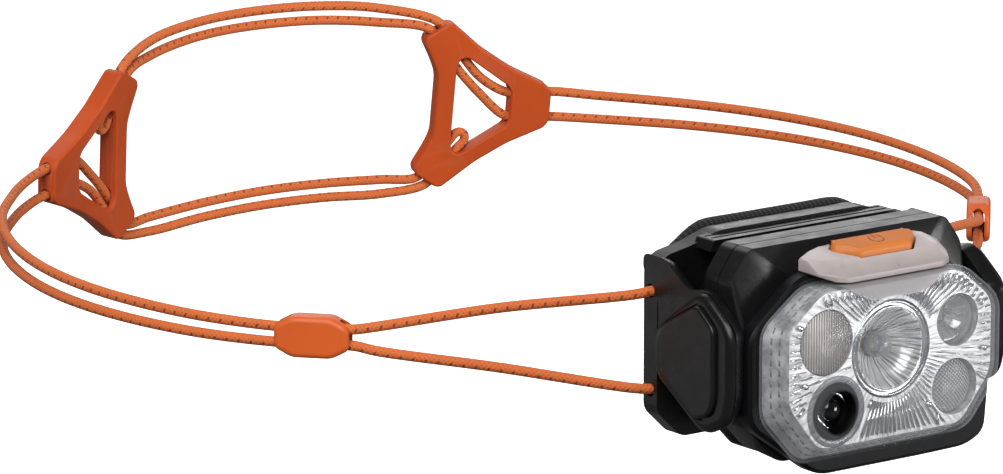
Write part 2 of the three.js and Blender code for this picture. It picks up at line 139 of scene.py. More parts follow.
def add_to_scene(name, data):
    made = bpy.data.objects.new(name, data)
    bpy.context.scene.collection.objects.link(made)
    return made


def add_camera():
    data = bpy.data.cameras.new("camera")
    data.lens = CAMERA_LENS
    data.sensor_width = 36
    data.clip_end = 20
    camera = add_to_scene("camera", data)
    camera.location = place(*CAMERA_AT)
    camera.rotation_euler = (math.pi / 2 - CAMERA_DIP, 0, -CAMERA_HEADING)
    bpy.context.scene.camera = camera


def add_light(name, at, size, power):
    """A rectangular light that faces the middle of the headlamp."""
    data = bpy.data.lights.new(name, "AREA")
    data.shape = "RECTANGLE"
    data.size, data.size_y = size
    data.energy = power
    light = add_to_scene(name, data)
    light.location = at
    light.rotation_euler = (-Vector(at)).to_track_quat("-Z", "Y").to_euler()


def add_room(world):
    """A dim grey room, brightest just below the horizon, and brighter on the front right than behind."""
    room = Nodes(world.node_tree)
    way = room.node("TexCoord", output="Generated")
    sky = room.node("ValToRGB", {"Fac": room.parts(way)[2] * 0.5 + 0.5})
    stops = sky.socket.node.color_ramp.elements
    for height, _ in SKY[1:-1]:
        stops.new((height + 1) / 2)
    for stop, (_, level) in zip(stops, SKY):
        stop.color = (level, level, level, 1)
    facing = room.node("VectorMath", {0: way, 1: FRONT_RIGHT}, "Value", operation="DOT_PRODUCT")
    side = facing.span(-1, 1, ROOM_DARK_SIDE, ROOM_BRIGHT_SIDE)
    background = world.node_tree.nodes["Background"]
    room.feed(background.inputs["Color"], (1, 1, 1, 1))
    room.feed(background.inputs["Strength"], sky * side)


def add_floor():
    """A white sheet that only the camera sees, so the ground stays white without lighting the part."""
    mesh = bpy.data.meshes.new("floor")
    corners = ((-1, -1), (1, -1), (1, 1), (-1, 1))
    mesh.from_pydata([(x * FLOOR_REACH, y * FLOOR_REACH, 0) for x, y in corners], [], [(0, 1, 2, 3)])
    floor = add_to_scene("floor", mesh)
    floor.location = (0, 0, FLOOR_LEVEL)
    paint = Paint("floor")
    paint.set(Base_Color=(0.9, 0.9, 0.9, 1), Emission_Color=(1, 1, 1, 1), Emission_Strength=1)
    mesh.materials.append(paint.material)
    for ray in ("diffuse", "glossy", "transmission", "shadow"):
        setattr(floor, "visible_" + ray, False)


def add_studio():
    scene = bpy.context.scene
    scene.view_settings.view_transform = "Standard"
    world = bpy.data.worlds.new("studio")
    scene.world = world
    world.use_nodes = True
    add_room(world)
    for name, (at, size, power) in LIGHTS.items():
        add_light(name, at, size, power)
    add_floor()


# ---- materials
def shade(colour, factor):
    return tuple(min(1, c * factor) for c in colour)


class Paint(Nodes):
    """A Principled material whose colour, roughness and bump are built from procedural nodes."""

    def __init__(self, name):
        self.material = bpy.data.materials.new(name)
        self.material.use_nodes = True
        super().__init__(self.material.node_tree)
        self.shader = self.tree.nodes["Principled BSDF"]
        self.object_space = self.node("TexCoord", output="Object")

    def set(self, **inputs):
        """Sets inputs of the shader, whose names' spaces are underscores here; gives the material."""
        for key, value in inputs.items():
            self.feed(self.shader.inputs[key.replace("_", " ")], value)
        return self.material

    def noise(self, per_mm, detail=2.0):
        """Noise with so many features per millimetre."""
        inputs = {"Vector": self.object_space, "Scale": per_mm * 1000, "Detail": detail}
        return self.node("TexNoise", inputs)

    def drawn(self, x=0.0, z=0.0):
        """The surface point's x and z in the drawing, in mm, measured from a given point."""
        at = place(x, 0, z)
        return [(way - at[i]) * 1000 for i, way in enumerate(self.parts(self.object_space)) if i != 1]

    def slant(self):
        """0 where the surface faces the viewer and 1 where it is seen edge on."""
        return self.node("LayerWeight", {"Blend": 0.5}, "Facing")

    def blend(self, factor, a, b):
        a, b = [(*c, 1) if isinstance(c, tuple) else c for c in (a, b)]
        return self.node("Mix", {"Factor": factor, 6: a, 7: b}, 2, data_type="RGBA")

    def bump(self, height, depth_mm):
        return self.node("Bump", {"Height": height, "Distance": depth_mm * MM})

    def mottled(self, pattern, first, second, smooth, rough):
        """Lets the colour and the roughness follow a pattern."""
        self.set(Base_Color=self.blend(pattern, first, second),
                 Roughness=pattern.span(0.3, 0.7, smooth, rough))


def length_of(x, z):
    return (x * x + z * z).math("SQRT")


def moulded(name, colour, roughness, grain=0.012, variation=0.12, wear=0.06, gloss=0.5):
    """Injection moulded plastic: a fine spark texture, slow colour drift and slightly paler edges."""
    paint = Paint(name)
    drift = paint.noise(0.06).span(0.3, 0.7)
    body = paint.blend(drift, shade(colour, 1 - variation), shade(colour, 1 + variation))
    rub = paint.node("NewGeometry", output="Pointiness").span(0.52, 0.62) * paint.noise(0.8)
    worn = tuple(c * 0.7 + 0.18 for c in colour)
    patches = paint.noise(0.25, 4)
    return paint.set(
        Base_Color=paint.blend(rub * (wear * 4), body, worn),
        Roughness=patches.span(0.3, 0.7, roughness - 0.05, roughness + 0.07),
        Normal=paint.bump(paint.noise(3.5, 3), grain),
        Specular_IOR_Level=gloss)


def clear_plastic(name, tint, roughness, face_on, edge_on):
    """Clear thin-walled plastic: a faint veil seen face on that thickens where it is seen edge on."""
    paint = Paint(name)
    flow = paint.noise(0.5, 3)
    return paint.set(
        Base_Color=paint.blend(flow, tint, shade(tint, 0.85)),
        Roughness=flow.span(0.35, 0.65, roughness, roughness + 0.04),
        Alpha=paint.slant().span(0.25, 1.0, face_on, edge_on))


FROST_LINE, FROST_SPREAD, FROST_RISE = 10.9, 6.5, 0.5
SENSOR_CLEAR = 4.3


def window_plastic(name):
    """The window's clear plastic: frosted under the button hood and clear over the sensor."""
    paint = Paint(name)
    x, z = paint.drawn()
    line = (x.math("ABSOLUTE") - FROST_SPREAD).math("MAXIMUM", 0) * FROST_RISE + FROST_LINE
    frost = (z - line).span(-0.3, 0.5)
    over_eye = length_of(*paint.drawn(*SENSOR)).span(SENSOR_CLEAR, SENSOR_CLEAR + 0.4)
    veil = paint.slant().span(0.3, 1.0, 0.07, 0.42) * over_eye
    flow = paint.noise(0.7, 3)
    clear = paint.blend(flow, (0.62, 0.63, 0.66), (0.4, 0.41, 0.43))
    return paint.set(
        Base_Color=paint.blend(frost, clear, (0.30, 0.285, 0.29)),
        Roughness=frost.span(0, 1, 0.05, 0.4),
        Alpha=veil.math("MAXIMUM", frost * 0.68),
        Normal=paint.bump(flow, 0.04))


def gridded(name, pitch):
    """Clear plastic moulded with a grid of small pillows, painted pale and dark in turn: painted highlights
    and shade of the pillows.
    """
    paint = Paint(name)
    across, up = [(way * (2 * math.pi / pitch)).sine() for way in paint.drawn()]
    pillow = (across * up).span(-0.6, 0.6)
    # The pale and dark pillow colours are painted highlights and shade.
    return paint.set(
        Base_Color=paint.blend(pillow, (0.2, 0.2, 0.22), (0.72, 0.72, 0.74)),
        Alpha=pillow * 0.3 + 0.35,
        Roughness=paint.noise(0.3).span(0.3, 0.7, 0.08, 0.14))


def fluted(name, pitch):
    """Clear plastic moulded with upright flutes, painted with pale and dark lines as the flutes' painted
    highlights and shade, and warm patches as painted orange glints.
    """
    paint = Paint(name)
    lines = (paint.drawn()[0] * (2 * math.pi / pitch)).sine()
    warm = paint.noise(0.25)
    pale = paint.blend(warm, (0.74, 0.72, 0.72), (0.8, 0.68, 0.6))
    # The pale and dark lines and the warm patches are painted light: highlights, shade and orange glints.
    return paint.set(
        Base_Color=paint.blend(lines.span(-0.8, 0.8), (0.24, 0.23, 0.24), pale),
        Alpha=lines.span(-1, 1, 0.45, 0.8),
        Roughness=warm.span(0.3, 0.7, 0.12, 0.2))


def plated(name, colour, roughness):
    """Plastic with a bright vacuum plated skin."""
    paint = Paint(name)
    paint.mottled(paint.noise(0.3, 4), colour, shade(colour, 0.86), roughness, roughness + 0.1)
    return paint.set(Metallic=1.0, Normal=paint.bump(paint.noise(1.2, 3), 0.01))


def rayed(name, centre, rays, dark, bright, roughness, depth=0.14, metal=0.55):
    """Plated plastic with fine rays that run out from a centre, given as (x, z) in the drawing; the dark and
    bright rays are painted reflections.
    """
    paint = Paint(name)
    x, z = paint.drawn(*centre)
    polar = paint.node("CombineXYZ", {"X": z.math("ARCTAN2", x) * rays, "Y": length_of(x, z) * 0.16})
    reflection_streak = paint.node("TexNoise", {"Vector": polar, "Scale": 1.0, "Detail": 3, "Roughness": 0.6})
    return paint.set(
        Base_Color=paint.blend(reflection_streak.span(0.38, 0.62), dark, bright),
        Roughness=reflection_streak.span(0.3, 0.7, roughness, roughness + 0.12),
        Metallic=metal,
        Normal=paint.bump(reflection_streak, depth))


def tray_wall(name):
    """The tray's sloped side: pale under the clear window, with painted light that makes it palest along its
    lower edge.
    """
    paint = Paint(name)
    haze = paint.noise(0.35, 3)
    # Painted light: the wall grows paler towards its lower edge, with random haze on top.
    level = paint.drawn()[1].span(-17, -9, 1, 0) * 0.5 + haze.span(0.35, 0.65, 0, 0.5)
    return paint.set(
        Base_Color=paint.blend(level, (0.2, 0.2, 0.22), (0.95, 0.95, 0.97)),
        Roughness=haze.span(0.3, 0.7, 0.2, 0.35),
        Metallic=0.2)


def frosted(name, colour):
    """Milky translucent plastic, painted paler near its top and along its rims where they are seen edge on:
    painted light.
    """
    paint = Paint(name)
    cloud = paint.noise(0.16, 3)
    # Painted light: paler towards the top, and paler still at rims seen edge on.
    top_light_and_cloud = paint.drawn()[1].span(16.2, 20.0, 0.62, 1.05) * cloud.span(0.3, 0.7, 0.85, 1.1)
    painted_glow = paint.slant().span(0.4, 1.0) * 0.3 + top_light_and_cloud
    return paint.set(
        Base_Color=paint.blend(painted_glow, shade(colour, 0.25), colour),
        Roughness=cloud.span(0.3, 0.7, 0.26, 0.4),
        Subsurface_Weight=0.25,
        Subsurface_Radius=(0.002, 0.002, 0.002),
        Normal=paint.bump(paint.noise(2.5, 3), 0.015))


def rubbery(name, colour):
    paint = Paint(name)
    paint.mottled(paint.noise(0.5, 4), colour, shade(colour, 1.5), 0.6, 0.8)
    return paint.set(Normal=paint.bump(paint.noise(4), 0.02))


def brushed(name, colour):
    paint = Paint(name)
    stretched = paint.node("Mapping", {"Vector": paint.object_space, "Scale": (0.1, 1, 1)})
    lines = paint.node("TexNoise", {"Vector": stretched, "Scale": 9000, "Detail": 2})
    paint.mottled(lines, colour, shade(colour, 0.8), 0.2, 0.4)
    return paint.set(Metallic=1.0, Normal=paint.bump(lines, 0.005))


def circuit_board(name):
    paint = Paint(name)
    tracks = paint.node("TexBrick", {
        "Vector": paint.object_space, "Scale": 500, "Mortar Size": 0.04, "Mortar": (0.05, 0.2, 0.1, 1),
        "Color1": (0.01, 0.09, 0.05, 1), "Color2": (0.012, 0.11, 0.06, 1)})
    return paint.set(Base_Color=tracks, Roughness=paint.noise(1).span(0.3, 0.7, 0.3, 0.5))


def phosphor(name):
    paint = Paint(name)
    paint.mottled(paint.noise(6), (0.78, 0.6, 0.12), (0.9, 0.76, 0.3), 0.5, 0.7)
    return paint.material


def foil(name):
    paint = Paint(name)
    crease = paint.node("TexVoronoi", {"Vector": paint.object_space, "Scale": 260}, "Distance")
    return paint.set(
        Base_Color=paint.blend(crease, (0.42, 0.45, 0.5), (0.3, 0.32, 0.36)),
        Roughness=crease.span(0, 1, 0.25, 0.45),
        Normal=paint.bump(crease, 0.05),
        Metallic=0.7)


KNIT_PITCH = 1.15  # mm between the ribs of the pad's knit


def knit(name):
    """Ribbed black knit: upright wales with small stitches, whose raised parts and fuzz are painted paler as
    a painted highlight.
    """
    paint = Paint(name)
    x, y, z = paint.parts(paint.object_space)
    turns = 2 * math.pi / (KNIT_PITCH * MM)
    wales = (x * turns + paint.noise(0.4) * 3.0).sine()
    courses = ((z + y) * (turns * 1.7)).sine()
    stitch = wales.span(-1, 1) * courses.span(-1, 1, 0.25, 1)
    fuzz = paint.noise(5, 3)
    # The paler colour on the stitches and fuzz is a painted highlight.
    return paint.set(
        Base_Color=paint.blend(stitch * fuzz, (0.0015, 0.0015, 0.002), (0.012, 0.012, 0.013)),
        Roughness=fuzz.span(0.3, 0.7, 0.85, 1.0),
        Normal=paint.bump(stitch + fuzz * 0.3, 0.35),
        Sheen_Weight=0.06)


BRAID_PITCH = 0.95  # mm along the cord from one strand of the braid to the next
BRAID_STRANDS = 5
FLECK_PITCH = 2.5  # mm between the dark tracer flecks
FLECK_ROWS = 3


def braided_cord(name):
    """Round elastic in a fine orange braid, painted darker in the braid's grooves as painted shade, with
    rows of dark tracer flecks.

    The cord's UV map holds the turn round it in u and the distance along it, in mm, in v.
    """
    paint = Paint(name)
    around, along, _ = paint.parts(paint.node("UVMap"))
    round_turns = around * (2 * math.pi * BRAID_STRANDS)
    travel = along * (2 * math.pi / BRAID_PITCH)
    weave = (round_turns + travel).sine().math("MAXIMUM", (round_turns - travel).sine()).span(-0.4, 1)
    yarn = paint.noise(6, 3)
    worn = paint.noise(0.2, 3)
    deep = paint.blend(worn, (0.56, 0.112, 0.020), (0.63, 0.131, 0.025))
    bright = paint.blend(worn, (0.67, 0.15, 0.029), (0.76, 0.181, 0.038))
    # Painted shade and highlight: the weave's low parts take the darker orange and its raised strands the
    # paler.
    braid = paint.blend(weave * yarn.span(0.25, 0.7, 0.55, 1), deep, bright)
    step = (along / FLECK_PITCH + around).math("FRACT")
    row = (around * FLECK_ROWS + 0.1).math("FRACT")
    fleck = step.near(0.5, 0.09) * row.near(0.5, 0.17) * 0.85
    return paint.set(
        Base_Color=paint.blend(fleck, braid, (0.09, 0.034, 0.022)),
        Roughness=yarn.span(0.3, 0.7, 0.65, 0.85),
        Normal=paint.bump(weave + yarn * 0.25, 0.07),
        Sheen_Weight=0.04)


# The middles of the four lenses and of the light sensor, as (x, z), and their radii.
SPOT, FLOOD, UPPER, LOWER, SENSOR = (0, 0), (-16.3, 3.5), (17.0, 3.3), (16.4, -10.1), (-13.8, -10.6)
SPOT_R, FLOOD_R, UPPER_R, LOWER_R, SENSOR_R = 9.6, 6.3, 5.0, 5.4, 5.5
LENSES = ((SPOT, SPOT_R), (FLOOD, FLOOD_R), (UPPER, UPPER_R), (LOWER, LOWER_R), (SENSOR, SENSOR_R))
SENSOR_COLLAR = 1.6
PILLOW_PITCH = 0.85
WHITE = (1.0, 1.0, 1.0)

# A moulded plastic's numbers are its colour, roughness, grain, colour variation and wear.
BLACK = moulded("satin_black", (0.006, 0.006, 0.0065), 0.3, wear=0.008, gloss=0.33)
BLACK_RIM = moulded("rim_black", (0.004, 0.004, 0.005), 0.36, grain=0.006, wear=0.02, gloss=0.13)
DEEP_BLACK = moulded("tube_black", (0.002, 0.002, 0.002), 0.5, grain=0.002, wear=0, gloss=0.05)
ORANGE = moulded("orange_plastic", (0.52, 0.073, 0.012), 0.42, 0.02, 0.07, 0.03, gloss=0.2)
# The sliders' orange is the triangles' orange plastic made paler for how they are lit: painted light.
LIT_SLIDER_ORANGE = moulded("slider_orange", (0.67, 0.115, 0.019), 0.38, 0.02, 0.05, 0.04, gloss=0.3)
ORANGE_BUTTON = moulded("button_orange", (0.58, 0.178, 0.040), 0.42, 0.02, 0.06, 0.04, gloss=0.2)
ORANGE_MARK = moulded("symbol_orange", (0.30, 0.06, 0.012), 0.5, wear=0)
EYE = moulded("sensor_eye", (0.004, 0.004, 0.005), 0.1, grain=0.0, variation=0.0, wear=0)
# The ladder dashes' dark grey is painted shade on the tray's sloped side.
LADDER = moulded("ladder_grey", (0.16, 0.16, 0.17), 0.3, wear=0)
CLEAR = window_plastic("clear_window")
LENS = clear_plastic("clear_lens", (0.5, 0.51, 0.54), 0.04, 0.14, 0.85)
DOME = clear_plastic("spot_dome", (0.34, 0.35, 0.38), 0.03, 0.5, 0.95)
DARK_LENS = clear_plastic("collar_clear", (0.16, 0.16, 0.17), 0.05, 0.6, 0.95)
GRID = gridded("pillow_lens", PILLOW_PITCH)
FLUTED = fluted("fluted_lens", 0.62)
# The tray's and the reflector cups' rayed paints carry painted reflections: dark and bright rays.
PLATED = rayed("plated_tray", SPOT, 26, (0.42, 0.42, 0.44), (0.86, 0.86, 0.9), 0.24, 0.1, 0.3)
PLATED_BRIGHT = plated("plated_bright", (0.84, 0.85, 0.88), 0.12)
CUP = rayed("spot_reflector", SPOT, 13, (0.2, 0.2, 0.21), WHITE, 0.1, 0.2, 0.4)
UPPER_CUP = rayed("upper_reflector", UPPER, 3, (0.22, 0.22, 0.23), WHITE, 0.06)
LOWER_CUP = rayed("lower_reflector", LOWER, 4, (0.05, 0.05, 0.055), WHITE, 0.1)
WALL = tray_wall("tray_wall")
HOOD = frosted("frosted_hood", (0.5, 0.44, 0.43))
RUBBER = rubbery("gasket_rubber", (0.02, 0.02, 0.021))
STEEL = brushed("steel", (0.55, 0.55, 0.56))
BOARD = circuit_board("circuit_board")
PHOSPHOR = phosphor("phosphor")
FOIL = foil("battery_foil")
KNIT = knit("knit")
CORD = braided_cord("elastic_cord")


# ---- shapes
class Shape:
    """Points and faces of one piece, in the drawing's millimetres."""

    def __init__(self):
        self.points = []
        self.faces = []
        self.paints = []

    def add(self, points, faces, paint=0):
        first = len(self.points)
        self.points += [tuple(p) for p in points]
        self.faces += [tuple(first + i for i in face) for face in faces]
        self.paints += [paint] * len(faces)
        return self

    def loft(self, stations, put, paint=0):
        """Skins and caps outlines [(station, outline), ...]; put(a, b, station) gives a point."""
        count = len(stations[0][1])
        points = [put(a, b, s) for s, outline in stations for a, b in outline]
        faces = []
        for k in range(len(stations) - 1):
            for i in range(count):
                a, b = k * count + i, k * count + (i + 1) % count
                faces.append((a, b, b + count, a + count))
        faces.append(tuple(reversed(range(count))))
        faces.append(tuple(range((len(stations) - 1) * count, len(stations) * count)))
        return self.add(points, faces, paint)

    def loft_y(self, *stations, paint=0):
        return self.loft(stations, lambda x, z, y: (x, y, z), paint)

    def loft_x(self, *stations):
        return self.loft(stations, lambda y, z, x: (x, y, z))

    def loft_z(self, *stations):
        return self.loft(stations, lambda x, y, z: (x, y, z))

    def slab(self, low, high, outline, paint=0):
        """An (x, z) outline drawn out from y = low to y = high."""
        return self.loft_y((low, outline), (high, outline), paint=paint)

    def block(self, x, y, z):
        """A box from its (low, high) pairs."""
        return self.slab(*y, [(x[0], z[0]), (x[1], z[0]), (x[1], z[1]), (x[0], z[1])])

    def turned(self, profile, x=0.0, z=0.0, sides=64, paint=0, twist=None):
        """Turns a (radius, y) profile about a line along y; its ends lie on the line or meet."""
        points, faces, rings = [], [], []
        for radius, y in profile:
            if radius == 0:
                rings.append([len(points)] * sides)
                points.append((x, y, z))
                continue
            rings.append(list(range(len(points), len(points) + sides)))
            for i in range(sides):
                angle = 2 * math.pi * i / sides
                reach = radius if twist is None else twist(radius, y, i)
                points.append((x + reach * math.cos(angle), y, z + reach * math.sin(angle)))
        for a, b in zip(rings, rings[1:]):
            for i in range(sides):
                j = (i + 1) % sides
                corners = []
                for corner in (a[i], a[j], b[j], b[i]):
                    if corner not in corners:
                        corners.append(corner)
                if len(corners) > 2:
                    faces.append(tuple(corners))
        return self.add(points, faces, paint)

    def bar_x(self, y, z, x, radius):
        """A round bar along x, from x[0] to x[1]."""
        outline = circle((y, z), radius)
        return self.loft_x((x[0], outline), (x[1], outline))

    def moved(self, change):
        """Passes every point through change."""
        self.points = [tuple(change(Vector(p))) for p in self.points]
        return self

    def mirrored(self):
        return Shape().add([(-x, y, z) for x, y, z in self.points], [face[::-1] for face in self.faces])


def circle(centre, radius, sides=32):
    return [
        (centre[0] + radius * math.cos(2 * math.pi * i / sides),
         centre[1] + radius * math.sin(2 * math.pi * i / sides)) for i in range(sides)]


def rounded(corners, radius, edges=5):
    """A closed outline with its corners rounded."""
    made = []
    count = len(corners)
    for i, here in enumerate(corners):
        here = Vector(here)
        before, after = Vector(corners[i - 1]), Vector(corners[(i + 1) % count])
        reach = min(radius, (before - here).length * 0.45, (after - here).length * 0.45)
        a = here + (before - here).normalized() * reach
        b = here + (after - here).normalized() * reach
        for k in range(edges + 1):
            t = k / edges
            made.append(tuple(a * (1 - t) ** 2 + here * 2 * t * (1 - t) + b * t * t))
    return made


def inset(outline, distance):
    """The outline moved inwards, corner by corner."""
    count = len(outline)
    area = sum(ax * by - bx * ay for (ax, ay), (bx, by) in zip(outline, outline[1:] + outline[:1]))
    turn = 1 if area > 0 else -1
    made = []
    for i, (x, y) in enumerate(outline):
        normals = []
        for (ax, ay), (bx, by) in ((outline[i - 1], (x, y)), ((x, y), outline[(i + 1) % count])):
            length = math.hypot(bx - ax, by - ay) or 1
            normals.append((-turn * (by - ay) / length, turn * (bx - ax) / length))
        (ux, uy), (vx, vy) = normals
        scale = distance / max(1 + ux * vx + uy * vy, 0.4)
        made.append((x + (ux + vx) * scale, y + (uy + vy) * scale))
    return made


def stepped(outline, *steps):
    """Stations for a loft, from steps that say where each stands and how far its outline is drawn in."""
    return [(at, inset(outline, step)) for at, step in steps]


def both_sides(half):
    """A whole outline from its half on the +x side."""
    return list(half) + [(-x, z) for x, z in reversed(half)]


def square_to(a, b):
    """The unit vector at right angles to the way from a to b."""
    return Vector((a.y - b.y, b.x - a.x)).normalized()


def strip(a, b, side):
    """The outline of a straight strip from a to b, which reaches out by side and by its opposite."""
    return [a + side, a - side, b - side, b + side]


def make_object(name, shape, paints=()):
    mesh = bpy.data.meshes.new(name)
    mesh.from_pydata([place(*p) for p in shape.points], [], shape.faces)
    for paint in paints:
        mesh.materials.append(paint)
    for polygon, paint in zip(mesh.polygons, shape.paints):
        polygon.material_index = paint
        polygon.use_smooth = True
    scratch = bmesh.new()
    scratch.from_mesh(mesh)
    bmesh.ops.recalc_face_normals(scratch, faces=scratch.faces)
    scratch.to_mesh(mesh)
    scratch.free()
    return add_to_scene(name, mesh)


def bake_modifiers(made):
    depsgraph = bpy.context.evaluated_depsgraph_get()
    mesh = bpy.data.meshes.new_from_object(made.evaluated_get(depsgraph))
    made.modifiers.clear()
    made.data = mesh


def carve(made, *tools, operation="DIFFERENCE"):
    """Cuts the tools, shapes or objects, out of a piece, or joins them on."""
    for shape in tools:
        tool = make_object("tool", shape) if isinstance(shape, Shape) else shape
        cut = made.modifiers.new("cut", "BOOLEAN")
        cut.object = tool
        cut.operation = operation
        cut.solver = "EXACT"
        bake_modifiers(made)
        bpy.data.objects.remove(tool)
    for polygon in made.data.polygons:
        polygon.use_smooth = True


def soften(made, width, segments=3, angle=28):
    """Rounds the hard edges of a piece by a width in mm and keeps its flats flat."""
    bevel = made.modifiers.new("edges", "BEVEL")
    bevel.width = width * MM
    bevel.segments = segments
    bevel.limit_method = "ANGLE"
    bevel.angle_limit = math.radians(angle)
    bevel.use_clamp_overlap = True
    flats = made.modifiers.new("flats", "WEIGHTED_NORMAL")
    flats.weight = 80
    flats.keep_sharp = True


def settle(made, body, slot, *replaced):
    """Lets a piece ride on its body and stand for its CAD nodes."""
    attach(made, body)
    if replaced:
        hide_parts(*replaced)


def piece(name, shape, body, slot, paint, replaced=(), edge=0.0, segments=3, carved=()):
    """One finished piece of one material: built, cut, softened, and settled on its body."""
    made = make_object(name, shape, [paint])
    if carved:
        carve(made, *carved)
    if edge:
        soften(made, edge, segments)
    settle(made, body, slot, *replaced)
    return made


def repaint(node, paint, edge=0.0):
    """Gives a CAD node that keeps its own shape a finished material."""
    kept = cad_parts[node]
    kept.data.materials.clear()
    kept.data.materials.append(paint)
    if edge:
        soften(kept, edge, 2)


# ---- headband: cords
CORD_RADIUS = 1.05
CORD_DEPTH, CORD_HEIGHT = 35.4, 10  # the cords' holes in the plate: their y, and their z up and down
SLOT_HALF = 1.6  # half the gap between two strands that run side by side
FRONT_HOLE = 2.9  # half the gap between a triangle's two front holes
BORE_RADIUS = 1.35
CURVE_STEP, TUBE_SIDES = 0.8, 20


def frame_at(x_axis, y_axis, at):
    """The matrix of a frame with those axes and its origin at a point."""
    x_axis = x_axis.normalized()
    z_axis = x_axis.cross(y_axis).normalized()
    y_axis = z_axis.cross(x_axis)
    turn = Matrix((x_axis, y_axis, z_axis)).transposed().to_4x4()
    return Matrix.Translation(at) @ turn


# The frames of the right slider and triangle: x runs along the cords, and z out of the flat face.
SLIDER_FRAME = frame_at(Vector((0.66, 0.751, 0)), Vector((0, 0, 1)), Vector((85.8, 76.1, 0.6)))
TRIANGLE_U = Vector((0.937, -0.35, -0.065)).normalized()
TRIANGLE_V = Vector((-0.345, -0.934, -0.087)).normalized().cross(TRIANGLE_U)
TRIANGLE_FRAME = frame_at(TRIANGLE_U, TRIANGLE_V, Vector((40.2, 211.1, 8.3)))
# Two strands leave the triangle's window at its upper rear corner, side by side.
CORNER_FROM = Vector((6.9, 9.7))
CORNER_WAY = (Vector((0.7, 17.5)) - CORNER_FROM).normalized()
CORNER_HALF = 1.3
CORNER_STEPS = (0, 5, 10.5)
# Where the upper strand goes through the slider and the front of the triangle.
SLIDER_STEPS = ((-13, 2.5), (-8.6, 1.7), (-6, SLOT_HALF), (0, SLOT_HALF), (7.8, SLOT_HALF))
TRIANGLE_STEPS = ((30, FRONT_HOLE), (24, FRONT_HOLE), (18.6, FRONT_HOLE - 0.2))
# The bow of a strand from the slider to the triangle, from above.
SIDE_BOW = ((99.4, 93.5), (104.3, 106), (107.2, 121), (107.4, 136), (104.8, 151),
            (99.4, 166), (91.6, 179.4), (83.6, 188.6), (76.2, 195.6))
# Half of the cords' way round the back of the head, from a triangle to the middle.
UPPER_SPAN = ((30, 215.2, 28.8), (16, 219.4, 30.2), (0, 221.8, 30.4))
LOWER_SPAN = ((31, 215.2, -10.1), (16, 216.4, -9.2), (0, 216.8, -8.8))
# The turn round the far triangle's corner, as (along, across) steps.
BIGHT = ((-1.2, 1.35), (-2.2, 1.4), (-3.2, 1.0), (-3.7, 0), (-3.2, -1.0), (-2.2, -1.4), (-1.2, -1.35))


def in_slider(x, y):
    return SLIDER_FRAME @ Vector((x, y, 0))


def in_triangle(u, v):
    return TRIANGLE_FRAME @ Vector((u, v, 0))


def in_corner(side, along, across):
    """A point measured from the upper (1) or lower (-1) corner of a triangle's window."""
    at = CORNER_FROM + CORNER_WAY * along + Vector((CORNER_WAY.y, -CORNER_WAY.x)) * across
    return in_triangle(at.x, side * at.y)


def flip(p):
    """The same point on the lamp's other side."""
    return Vector((-p.x, p.y, p.z))


def corner_run(up, side):
    return [in_corner(side, along, side * up * CORNER_HALF) for along in CORNER_STEPS]


def lane(up, side):
    """One run from the bracket to the back of the near triangle, on the +x side."""
    bow = []
    for i, (x, y) in enumerate(SIDE_BOW):
        t = (i + 1) / (len(SIDE_BOW) + 1)
        bow.append(Vector((x, y, 0.8 + t * 5.2 + up * (1.6 + t * 1.2))))
    return [
        Vector((26, CORD_DEPTH, up * CORD_HEIGHT)),
        Vector((32, CORD_DEPTH, up * CORD_HEIGHT)),
        Vector((36.4, CORD_DEPTH + 1.0, up * (CORD_HEIGHT - 0.5))),
        Vector((57.8, 53.0, 0.6 + up * 6.0)),
        *[in_slider(x, up * y) for x, y in SLIDER_STEPS],
        *bow,
        *[in_triangle(u, up * v) for u, v in TRIANGLE_STEPS],
        in_triangle(12.2, up * 1.8 + side * 4.2),
        *corner_run(up, side),
    ]


def cord_route(side):
    """Out along one lane, round the bight in the far triangle and back along the other lane."""
    span = UPPER_SPAN if side > 0 else LOWER_SPAN

    def outward(up):
        back = [Vector((x, y, z + up * SLOT_HALF)) for x, y, z in span]
        back += [flip(p) for p in reversed(back[:-1])]
        return lane(up, side) + back + [flip(p) for p in reversed(corner_run(up, side))]

    bight = [flip(in_corner(side, along, across)) for along, across in BIGHT]
    if side < 0:
        bight.reverse()
    return outward(1) + bight + list(reversed(outward(-1)))


def smooth_curve(points, step):
    """A centripetal Catmull-Rom curve through the points, sampled about every step mm."""
    ends = [points[0] * 2 - points[1], *points, points[-1] * 2 - points[-2]]
    made = []
    for p0, p1, p2, p3 in zip(ends, ends[1:], ends[2:], ends[3:]):
        t1 = (p1 - p0).length ** 0.5
        t2 = t1 + (p2 - p1).length ** 0.5
        t3 = t2 + (p3 - p2).length ** 0.5
        count = max(2, round((p2 - p1).length / step))
        for k in range(count):
            t = t1 + (t2 - t1) * k / count
            a1, a2 = p0.lerp(p1, t / t1), p1.lerp(p2, (t - t1) / (t2 - t1))
            a3 = p2.lerp(p3, (t - t2) / (t3 - t2))
            b1, b2 = a1.lerp(a2, t / t2), a2.lerp(a3, (t - t1) / (t3 - t1))
            made.append(b1.lerp(b2, (t - t1) / (t2 - t1)))
    return made + [points[-1]]


